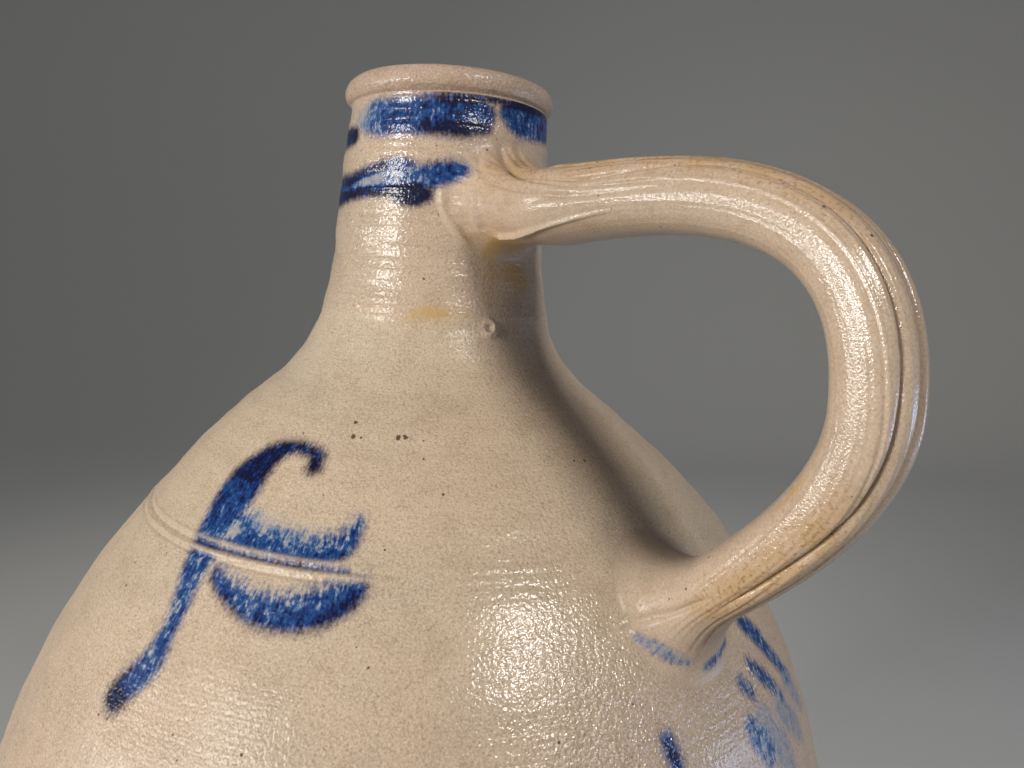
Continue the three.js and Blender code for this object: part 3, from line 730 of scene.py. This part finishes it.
# Neck and lip: a narrow ring luted on at the neck's foot, its rim rolled over into a lip.
# Cobalt was brushed round it in two bands, with a dab where the brush was set down again.
# Ochre stains show where the luting slip came through at the seam.
MOUTH_ROUND = 2.5
MOUTH_STEPS = 8
BORE_RINGS = 14
BORE_DROP = 6
NECK_FLOW_RADIUS = 28.0
COLLAR = [
    (-94.0, 360.0, 2.0, 0.0), (-86.0, 359.8, 3.4, 0.15), (-76.0, 359.4, 4.2, 0.5),
    (-60.0, 359.4, 4.3, 0.6), (-43.0, 359.4, 4.4, 0.62), (-30.0, 359.6, 4.6, 0.7),
    (-22.0, 360.4, 3.4, 0.75), (-17.0, 361.2, 1.4, 0.7)]
COLLAR_UNDER = [
    (-52.0, 356.3, 0.7, 0.9), (-42.0, 356.4, 1.2, 1.1), (-30.0, 356.6, 1.3, 1.15),
    (-18.0, 357.2, 0.9, 0.95)]
COLLAR_OVER = [
    (-52.0, 363.8, 0.5, 0.7), (-40.0, 364.0, 0.7, 0.9), (-25.0, 364.2, 0.8, 0.95),
    (-12.0, 364.6, 0.6, 0.9)]
COLLAR_FAR = [
    (-5.0, 362.3, 2.4, 0.55), (4.0, 361.5, 4.4, 0.5), (20.0, 361.7, 4.4, 0.55), (33.0, 361.8, 4.0, 0.7),
    (42.0, 362.0, 2.4, 0.2)]
# A near-black line of slip just under the lip at the collar's far end is painted shade of the lip's
# undercut.
COLLAR_FAR_UNDER_LIP_SHADE = [
    (-10.0, 364.4, 0.6, 1.0), (5.0, 365.0, 1.0, 1.1), (20.0, 365.2, 1.1, 1.1), (35.0, 365.0, 0.8, 0.9)]
NECK_DAB = [(-130.0, 356.5, 2.2, 1.0), (-110.0, 356.0, 2.3, 1.0), (-99.0, 355.8, 1.9, 1.0)]
NECK_STROKE = [
    (-128.0, 342.4, 3.2, 0.7), (-112.0, 342.3, 3.2, 0.6), (-98.0, 342.6, 3.2, 0.45),
    (-85.0, 343.2, 3.0, 0.12), (-70.0, 344.0, 3.2, 0.1), (-58.0, 344.0, 3.2, 0.25),
    (-48.0, 344.5, 2.8, 0.45), (-40.0, 345.5, 2.7, 0.55), (-32.0, 346.3, 2.3, 0.6),
    (-27.0, 346.9, 1.4, 0.5)]
NECK_OVER = [
    (-128.0, 345.0, 0.9, 1.0), (-110.0, 345.0, 1.0, 1.0), (-97.0, 344.9, 1.0, 0.9),
    (-86.0, 346.0, 0.8, 0.8), (-74.0, 347.3, 0.8, 0.75), (-64.0, 348.0, 0.9, 0.7),
    (-56.0, 347.3, 1.0, 0.6)]
NECK_UNDER = [
    (-128.0, 339.8, 1.3, 1.05), (-110.0, 339.9, 1.3, 1.05), (-95.0, 340.6, 1.1, 1.0),
    (-80.0, 341.0, 0.9, 0.95), (-68.0, 341.3, 1.0, 1.0)]
NECK_BLOB = [
    (-64.0, 341.0, 1.4, 1.15), (-58.0, 340.4, 2.2, 1.25), (-52.0, 340.2, 2.4, 1.25),
    (-47.0, 340.6, 1.6, 1.1)]


def brush_neck(brush):
    brush.stroke(COLLAR, above=2.0, below=2.0)
    brush.stroke(COLLAR_FAR, above=1.5, below=1.5)
    brush.stroke(COLLAR_UNDER, above=1.5, below=0.8)
    brush.stroke(COLLAR_OVER)
    # Painted shade under the lip, as a near-black stroke.
    brush.stroke(COLLAR_FAR_UNDER_LIP_SHADE)
    brush.stroke(NECK_DAB, above=1.0, below=1.0)
    brush.stroke(NECK_STROKE, above=2.0, below=1.5)
    brush.stroke(NECK_OVER)
    brush.stroke(NECK_UNDER, above=1.2, below=0.8)
    brush.stroke(NECK_BLOB, above=1.2, below=0.8)


neck_turns = turns_round(250, 90)
lip_top = lip_foot + LIP_HEIGHT
lip_span = (run_at(lip_foot - 2), outline_run[-1])
neck_outer = rings_between(run_at(neck_seam), outline_run[-1], 0.5, 0.25, [lip_span])
mouth_radius = NECK_TOP_RADIUS - WALL
mouth_angles = np.linspace(math.pi / 2, 0, MOUTH_STEPS)
mouth_profile = [(mouth_radius + MOUTH_ROUND - MOUTH_ROUND * math.cos(angle),
                  lip_top - MOUTH_ROUND + MOUTH_ROUND * math.sin(angle)) for angle in mouth_angles]
bore_heights = np.linspace(lip_top - BORE_DROP, neck_seam, BORE_RINGS)
bore_radii = np.interp(bore_heights, outline[:, 1], outline[:, 0]) - WALL
bore_profile = mouth_profile + list(zip(bore_radii, bore_heights))
neck_wall = wall_point(neck_turns[None, :], neck_outer[:, None])
bore_rings = plain_rings(neck_turns, *zip(*bore_profile))
neck_rings = np.concatenate([neck_wall, bore_rings])
neck_and_lip = skin("neck_and_lip_wall", neck_rings, loop=True)
neck_runs = np.concatenate([neck_outer, np.full(len(bore_rings), neck_outer[-1])])
turn_grid, run_grid, radius_grid, height_grid = wall_grids(neck_turns, neck_runs)
neck_brush = Brushwork(turn_grid, run_grid, radius_grid)
brush_neck(neck_brush)
on_lip = eased(height_grid, lip_foot - 0.4, lip_foot + 0.8)
inside_bore = np.repeat(np.arange(len(neck_rings)) >= len(neck_outer) + len(mouth_profile), len(neck_turns))
below_root = 1.3 * bell(np.degrees(turn_grid), 4, 16) * bell(height_grid, 323, 5)
mark_cobalt(neck_and_lip, neck_brush, on_lip.ravel() > 0.5)
neck_stain = np.clip(seam_stain(turn_grid, height_grid) + below_root, 0, 1)
mark(neck_and_lip, "ochre", neck_stain.ravel())
mark(neck_and_lip, "salt", salt_at(turn_grid, height_grid).ravel())
mark(neck_and_lip, "blush_and_strap_shade", (0.4 + 0.5 * on_lip).ravel())
mark(neck_and_lip, "bare", 0.6 * inside_bore)
mark(neck_and_lip, "flow", flow_at(turn_grid, run_grid, NECK_FLOW_RADIUS))
neck_and_lip.data.materials.append(salt_glaze("neck_glaze"))
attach(neck_and_lip, "root")
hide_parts("neck_and_lip", "collar_stroke", "neck_dab", "neck_stroke")

# Handle: a strap of clay pulled between wet fingers, which left two grooves down its back.
# Its thick end was pressed to the neck and its thin end to the shoulder while both were soft,
# and the clay at each end was wiped out on the wall with a thumb.
ROOT_DROP = 28.5
CROWN_PULL = (58.1, 6.1)
REACH = 94.7
REACH_DROP = 35.7
REACH_UPPER_PULL = 40.2
REACH_LOWER_PULL = 21.8
LANDING_ANGLE = math.radians(43.3)
LANDING_PULL = (9.7, 9.4)
ROOT_BURY = 18.0
LANDING_BURY = 10.0
SLIMMEST_SHARE = 0.62
HALF_THICKNESS = (10.7, 7.1, 6.6)
HALF_WIDTH = (16.8, 9.5, 10.9)
SECTION_SQUARENESS = 2.4
SECTION_POINTS = 216
STRAP_RINGS = 230
BLEND_RINGS = 34
BLEND_CROWDING = 1.2
NEARER_SHARE = 0.9
SUNK_SHARE = 0.85
SUNK_DEPTH = 3.0
ROOT_POLE_DEPTH = 5.0
FOOT_POLE_DEPTH = 4.0
FOOT_POLE_DROP = 3.0
ROOT_CLEAR = 20.0
LANDING_CLEAR = 15.0
ROOT_PRINT = {"up": 15.5, "down": 16.0, "side": 20.5}
ROOT_PRINT_HEIGHT = 341.0
FOOT_PRINT = {"up": 20.0, "down": 15.5, "side": 17.0}
NEAR_GROOVE = [
    (2, -14, 0.6), (8, -24, 0.8), (16, -44, 0.8), (25, -62, 0.8), (35, -72, 0.7), (46, -63, 0.6),
    (56, -50, 0.5), (64, -41, 0.5), (80, -34, 0.7), (95, -31, 0.9), (106, -29, 1.2), (117, -32, 1.4),
    (126, -35, 1.6), (135, -40, 1.7), (143, -48, 1.7), (150, -52, 1.6), (156, -54, 1.0), (163, -57, 0.2),
    (168, -58, 0.0)]
FAR_GROOVE = [
    (2, 2, 0.6), (15, -4, 0.8), (30, -18, 0.8), (50, -10, 0.8), (62, -2, 0.9), (74, 6, 1.0),
    (84, 10, 1.1), (96, 8, 1.3), (103, 5, 1.4), (116, 2, 1.5), (126, -3, 1.4), (140, -10, 1.2),
    (155, -16, 1.0), (176, -18, 0.4)]
ROOT_GROOVES = [
    [(2, -8, 0.4), (8, -10, 0.5), (16, -20, 0.5), (30, -38, 0.5), (45, -34, 0.4), (64, -22, 0.2),
     (80, -18, 0.0)],
    [(4, -14, 0.5), (9, -22, 0.6), (19, -58, 0.6), (26, -72, 0.5), (33, -82, 0.4), (47, -82, 0.25),
     (60, -74, 0.0)],
    [(2, -30, 0.4), (10, -62, 0.5), (20, -80, 0.5), (32, -92, 0.4), (48, -90, 0.2), (60, -84, 0.0)]]
ROOT_RIDGE = [
    (9, -85, 1.0), (9, -110, 1.4), (9, -130, 1.4), (11, -143, 1.4), (15, -141, 1.4), (20, -131, 1.1),
    (28, -125, 0.7), (38, -118, 0.3), (46, -112, 0.0)]
FOOT_CREASE = [(163, -78, 0.0), (167, -83, -0.7), (170, -86, -0.7), (174, -92, -0.7), (179, -96, -0.6)]
SECTION_GIRTH = 13.0
ROOT_RIDGE_SPREAD = 0.75
FOOT_CREASE_SPREAD = 0.8
DRAWN_DEPTH = 0.045
DRAWN_COUNTS = (17, 23, 29, 41)
WIPED_EDGE_RISE = 0.6
STREAK_GIRTH = 9.0
STREAK_LENGTH = 14.0

root_height = lip_foot - ROOT_DROP
root = np.array([np.interp(root_height, outline[:, 1], outline[:, 0]), root_height])
outermost = root + (REACH, -REACH_DROP)
shoulder_rise = SHOULDER_SPAN / math.sin(SHOULDER_SWEEP)
landing = ellipse(shoulder_rise, np.array([LANDING_ANGLE]))[0]
spine_share = np.linspace(0, 1, SMOOTH_STEPS)
spine = np.vstack([
    bezier([root, root + CROWN_PULL, outermost + (0, REACH_UPPER_PULL), outermost], spine_share),
    bezier([
        outermost, outermost - (0, REACH_LOWER_PULL), landing + LANDING_PULL, landing], spine_share)[1:]])
spine_run = np.concatenate([[0], np.cumsum(np.hypot(*np.diff(spine, axis=0).T))])
spine_way = np.gradient(spine, spine_run, axis=0)
spine_length = spine_run[-1]


def strap_size(travel, sizes):
    """Eases from the root to the slimmest place and on to the landing."""
    at_root, slim, at_landing = sizes
    share = (ROOT_BURY + travel) / (spine_length + ROOT_BURY + LANDING_BURY)
    before = slim + (at_root - slim) * (1 - share / SLIMMEST_SHARE) ** 2
    after = slim + (at_landing - slim) * ((share - SLIMMEST_SHARE) / (1 - SLIMMEST_SHARE)) ** 2
    return np.where(share < SLIMMEST_SHARE, before, after)


section_angles = np.linspace(-math.pi, math.pi, SECTION_POINTS, endpoint=False)


def squared(values):
    return np.sign(values) * np.abs(values) ** (2 / SECTION_SQUARENESS)


def strap_rings(travel):
    """Sections across the strap; angle 0 is its back, and a quarter turn less is the near side."""
    centre = np.stack([np.interp(travel, spine_run, spine[:, axis]) for axis in (0, 1)], -1)
    way = np.stack([np.interp(travel, spine_run, spine_way[:, axis]) for axis in (0, 1)], -1)
    way = way / np.linalg.norm(way, axis=1, keepdims=True)
    rise = strap_size(travel, HALF_THICKNESS)[:, None] * squared(np.cos(section_angles))
    side = strap_size(travel, HALF_WIDTH)[:, None] * squared(np.sin(section_angles))
    reach = centre[:, :1] - way[:, 1:] * rise
    height = centre[:, 1:] + way[:, :1] * rise
    return np.stack([reach, side, height], -1), way


def footprint(middle_height, sizes, back_is_up):
    """The line where wiped clay ends on the wall, and the way from it along the wall to the middle."""
    up_share = np.cos(section_angles) * (1 if back_is_up else -1)
    climb = np.where(up_share > 0, sizes["up"], sizes["down"]) * up_share
    middle_run = run_at(middle_height)
    runs = middle_run + climb
    radii = outline_at(runs)[0]
    turns = sizes["side"] * np.sin(section_angles) / radii
    edge = wall_point(turns, runs)
    nearer = wall_point(turns * NEARER_SHARE, middle_run + climb * NEARER_SHARE)
    way = nearer - edge
    sunk = wall_point(turns * SUNK_SHARE, middle_run + climb * SUNK_SHARE)
    outward = np.stack([np.cos(turns), np.sin(turns), np.zeros_like(turns)], -1)
    return edge, way / np.linalg.norm(way, axis=1, keepdims=True), sunk - SUNK_DEPTH * outward


def wiped(edge, edge_way, ring, ring_way):
    """Rows of points that leave the wall along it and arrive along the strap."""
    span = np.linalg.norm(ring - edge, axis=1, keepdims=True)
    share = (blend_share ** BLEND_CROWDING)[:, None, None]
    square, cube = share**2, share**3
    return ((2 * cube - 3 * square + 1) * edge + (cube - 2 * square + share) * edge_way * span
            + (3 * square - 2 * cube) * ring + (cube - square) * ring_way * span)


blend_share = np.linspace(0, 1, BLEND_RINGS, endpoint=False)
travel = np.linspace(ROOT_CLEAR, spine_length - LANDING_CLEAR, STRAP_RINGS)
strap, strap_way = strap_rings(travel)
root_edge, root_way, root_sunk = footprint(ROOT_PRINT_HEIGHT, ROOT_PRINT, True)
foot_edge, foot_way, foot_sunk = footprint(landing[1], FOOT_PRINT, False)
leaving = np.array([strap_way[0, 0], 0, strap_way[0, 1]])
arriving = -np.array([strap_way[-1, 0], 0, strap_way[-1, 1]])
root_blend = wiped(root_edge, root_way, strap[0], leaving)
foot_blend = wiped(foot_edge, foot_way, strap[-1], arriving)[::-1]
handle_rings = np.concatenate([root_blend, strap, foot_blend])
handle_travel = np.concatenate([
    ROOT_CLEAR * blend_share, travel, spine_length - LANDING_CLEAR * blend_share[::-1]])
root_fade = eased(blend_share, 0.03, 0.35)
foot_fade = eased(blend_share[::-1], 0.15, 0.9)
fade = np.concatenate([root_fade, np.ones(STRAP_RINGS), foot_fade])
around = np.roll(handle_rings, -1, axis=1) - np.roll(handle_rings, 1, axis=1)
onward = np.gradient(handle_rings, axis=0)
outward = np.cross(onward, around)
outward = outward / np.linalg.norm(outward, axis=2, keepdims=True)
angle_grid = np.degrees(section_angles)[None, :]
travel_grid = handle_travel[:, None]
relief = np.zeros(handle_rings.shape[:2])
groove_widths = [(NEAR_GROOVE, 9, 3), (FAR_GROOVE, 6, 2.5)] + [(groove, 5, 2.2) for groove in ROOT_GROOVES]
for groove, wide, narrow in groove_widths:
    path = smooth_line(groove)
    groove_angle = np.interp(handle_travel, path[:, 0], path[:, 1])[:, None]
    groove_depth = np.interp(handle_travel, path[:, 0], path[:, 2], right=0)[:, None]
    valley = 0.6 * bell(angle_grid, groove_angle, wide) + 0.8 * bell(angle_grid, groove_angle, narrow)
    relief -= groove_depth * valley
twist = np.radians(angle_grid) - travel_grid / 150
for count in DRAWN_COUNTS:
    drawn = np.sin(count * twist + 1.7 * count + np.sin(travel_grid / (19 + count)))
    relief += DRAWN_DEPTH * drawn * bell(angle_grid, -45, 65)


def raised(path, spread):
    """A thin bead along a line of travels, section angles and rises; a rise below nothing cuts a crease."""
    found = np.zeros(relief.shape)
    for path_travel, path_angle, path_rise in smooth_line(path):
        aside = np.radians(angle_grid - path_angle) * SECTION_GIRTH
        here = path_rise * bell(np.hypot(aside, travel_grid - path_travel), 0, spread)
        found = np.where(np.abs(here) > np.abs(found), here, found)
    return found


relief = relief * fade[:, None]
relief = relief + raised(ROOT_RIDGE, ROOT_RIDGE_SPREAD) + raised(FOOT_CREASE, FOOT_CREASE_SPREAD)
wiped_edge = bell(travel_grid, 2.0, 1.0) * eased(angle_grid, -150, -130) * (1 - eased(angle_grid, -90, -70))
relief += WIPED_EDGE_RISE * wiped_edge
handle_rings = handle_rings + outward * relief[:, :, None]
handle_rings = np.concatenate([root_sunk[None], handle_rings, foot_sunk[None]])
root_pole = (root[0] - ROOT_POLE_DEPTH, 0, root[1])
foot_pole = (landing[0] - FOOT_POLE_DEPTH, 0, landing[1] - FOOT_POLE_DROP)
handle = skin("handle", handle_rings, first=root_pole, last=foot_pole)
handle_travel = np.concatenate([[0.0], handle_travel, [spine_length]])
travel_grid = np.broadcast_to(handle_travel[:, None], handle_rings.shape[:2])
angle_grid = np.broadcast_to(section_angles[None, :], handle_rings.shape[:2])
handle_turns = np.arctan2(handle_rings[..., 1], handle_rings[..., 0])
handle_radii = np.hypot(handle_rings[..., 0], handle_rings[..., 1])
handle_brush = Brushwork(handle_turns, run_at(handle_rings[..., 2]), handle_radii)
brush_neck(handle_brush)
for foot_stroke in ROUND_THE_FOOT:
    handle_brush.stroke(foot_stroke, above=1.0, below=1.0)
clear_of_wall = (travel_grid > 8) & (travel_grid < spine_length - 9)
mark_cobalt(handle, handle_brush, clear_of_wall.ravel())
side_degrees = np.degrees(angle_grid)
before_foot = spine_length - travel_grid
# Real rust gathers near the foot; the rust and blush marks are also raised over the top of the upper run as
# painted shade, darkening the strap's top.
over_top = eased(travel_grid, 110, 70)
rust_and_strap_shade_share = 1.7 * bell(side_degrees, -58, 36) * eased(before_foot, 62, 34) * eased(before_foot, 9, 20)
rust_and_strap_shade_share = rust_and_strap_shade_share + 1.1 * bell(side_degrees, -20, 50) * over_top * eased(travel_grid, 2, 12)
under_root = 1.2 * bell(side_degrees, -165, 35) * eased(travel_grid, 18, 5)
inside_streak = bell(side_degrees, -125, 5) * bell(travel_grid, 135, 6)
strap_blush_and_top_shade = 0.4 + 0.35 * bell(side_degrees, -20, 42) * over_top
strap_salt = 0.42 - 0.28 * eased(before_foot, 28, 10) - 0.3 * eased(travel_grid, 30, 10)
mark(handle, "rust_and_strap_shade", np.clip(rust_and_strap_shade_share, 0, 1).ravel())
mark(handle, "ochre", np.clip(under_root + inside_streak, 0, 1).ravel())
mark(handle, "crust", crust_at(handle_turns, handle_radii, handle_rings[..., 2]))
mark(handle, "salt", strap_salt.ravel())
mark(handle, "blush_and_strap_shade", strap_blush_and_top_shade.ravel())
mark(handle, "flow", flow_at(angle_grid, travel_grid, STREAK_GIRTH, STREAK_LENGTH))
strap_glaze = salt_glaze(
    "handle_glaze", peel_scale=2100.0, run_scale=1500.0, turned=0.0,
    peel_depth=0.5 * PEEL_DEPTH, grainy=0.6)
handle.data.materials.append(strap_glaze)
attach(handle, "root")
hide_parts("handle_strap", "upper_smear", "lower_smear")

# Stage: a pale floor that sweeps up into the backdrop, five soft lamps and an even sky.
# The camera stands where the photograph was taken from, close in and a little below the lip.
# A lamp's values are azimuth, lift, distance, width, height, beam, watts and colour, angles in degrees.
CAMERA_PLACE = Vector((0.1734, -0.1355, 0.3183))
CAMERA_HEADING = math.radians(46.12)
CAMERA_TILT = math.radians(-6.96)
CAMERA_ROLL = math.radians(-2.36)
CAMERA_LENS = 27.04
FLOOR_FRONT = -2.0
FLOOR_SIDE = 12.0
SWEEP_START = 1.2
SWEEP_RADIUS = 0.8
BACKDROP_TOP = 3.0
PALE_FLOOR = colour(0.52, 0.52, 0.505)
FLOOR_ROUGHNESS = 0.9
SKY_COLOUR = colour(0.95, 0.97, 1.0)
SKY_LEVEL = 0.018
BACKDROP_LEVEL = 0.16
FLOOR_GLOW = 0.14
WARM_LIGHT = (1.0, 0.97, 0.93)
COOL_LIGHT = (0.50, 0.66, 1.0)
LAMPS = {
    "left_lamp": (-91, 11, 1.6, 0.40, 0.50, 70, 2.95, WARM_LIGHT),
    "far_left_lamp": (-116, 0, 1.6, 0.65, 0.16, 70, 1.25, WARM_LIGHT),
    "front_lamp": (-4, 40, 1.0, 0.20, 0.20, 180, 4.7, WARM_LIGHT),
    "right_lamp": (48, -8, 1.0, 0.40, 0.20, 180, 1.4, COOL_LIGHT),
    "back_lamp": (150, 24, 1.4, 0.70, 0.70, 70, 0.70, WARM_LIGHT)}
LAMP_AIM = Vector((0.0, 0.0, 0.27))


def seen_directly(tree):
    """One where a surface is seen or mirrored, and nothing where it only lights the jug."""
    path = tree.nodes.new("ShaderNodeLightPath")
    mirrored = maths(tree, "MAXIMUM", path.outputs["Is Glossy Ray"], path.outputs["Is Transmission Ray"])
    return maths(tree, "MAXIMUM", path.outputs["Is Camera Ray"], mirrored)


floor_run = [(FLOOR_FRONT, 0.0), (SWEEP_START, 0.0)]
for angle in np.linspace(0.1, math.pi / 2, 14):
    floor_run.append((SWEEP_START + SWEEP_RADIUS * math.sin(angle), SWEEP_RADIUS * (1 - math.cos(angle))))
floor_run.append((SWEEP_START + SWEEP_RADIUS, BACKDROP_TOP))
floor_mesh = bpy.data.meshes.new("floor")
floor_points = [(side, back, height) for back, height in floor_run for side in (-FLOOR_SIDE, FLOOR_SIDE)]
floor_faces = [(2 * step, 2 * step + 1, 2 * step + 3, 2 * step + 2) for step in range(len(floor_run) - 1)]
floor_mesh.from_pydata(floor_points, [], floor_faces)
floor_mesh.shade_smooth()
floor = bpy.data.objects.new("floor", floor_mesh)
floor.rotation_euler.z = CAMERA_HEADING
bpy.context.scene.collection.objects.link(floor)
floor_paint = bpy.data.materials.new("floor_paint")
floor_paint.use_nodes = True
floor_tree = floor_paint.node_tree
floor_shader = floor_tree.nodes["Principled BSDF"]
floor_shader.inputs["Base Color"].default_value = PALE_FLOOR
floor_shader.inputs["Roughness"].default_value = FLOOR_ROUGHNESS
floor_shader.inputs["Emission Color"].default_value = PALE_FLOOR
floor_seen = times(floor_tree, seen_directly(floor_tree), FLOOR_GLOW)
put(floor_tree, floor_shader.inputs["Emission Strength"], floor_seen)
floor_mesh.materials.append(floor_paint)

for lamp_name, (azimuth, height, distance, wide, tall, beam, watts, light_colour) in LAMPS.items():
    lamp_data = bpy.data.lights.new(lamp_name, "AREA")
    lamp_data.energy = watts
    lamp_data.shape = "RECTANGLE"
    lamp_data.size = wide
    lamp_data.size_y = tall
    lamp_data.spread = math.radians(beam)
    lamp_data.color = light_colour
    lamp = bpy.data.objects.new(lamp_name, lamp_data)
    lamp.visible_camera = False
    lamp.visible_glossy = lamp_name != "back_lamp"
    turn, lift = math.radians(azimuth), math.radians(height)
    way = Vector((math.cos(turn) * math.cos(lift), math.sin(turn) * math.cos(lift), math.sin(lift)))
    lamp.location = LAMP_AIM + way * distance
    lamp.rotation_euler = way.to_track_quat("Z", "Y").to_euler()
    bpy.context.scene.collection.objects.link(lamp)

sky = bpy.data.worlds.new("even_sky")
sky.use_nodes = True
sky_tree = sky.node_tree
sky_light = sky_tree.nodes["Background"]
sky_light.inputs["Color"].default_value = SKY_COLOUR
sky_seen = seen_directly(sky_tree)
sky_strength = maths(sky_tree, "MULTIPLY_ADD", sky_seen, BACKDROP_LEVEL - SKY_LEVEL, SKY_LEVEL)
put(sky_tree, sky_light.inputs["Strength"], sky_strength)
bpy.context.scene.world = sky

camera_data = bpy.data.cameras.new("camera")
camera_data.lens = CAMERA_LENS
camera_data.sensor_width = 36.0
camera_data.clip_start = 0.01
camera = bpy.data.objects.new("camera", camera_data)
camera.matrix_world = (Matrix.Translation(CAMERA_PLACE) @ Matrix.Rotation(CAMERA_HEADING, 4, "Z")
                       @ Matrix.Rotation(CAMERA_TILT, 4, "X") @ Matrix.Rotation(CAMERA_ROLL, 4, "Y")
                       @ Matrix.Rotation(math.pi / 2, 4, "X"))
bpy.context.scene.collection.objects.link(camera)
bpy.context.scene.camera = camera
bpy.context.scene.view_settings.view_transform = "Standard"
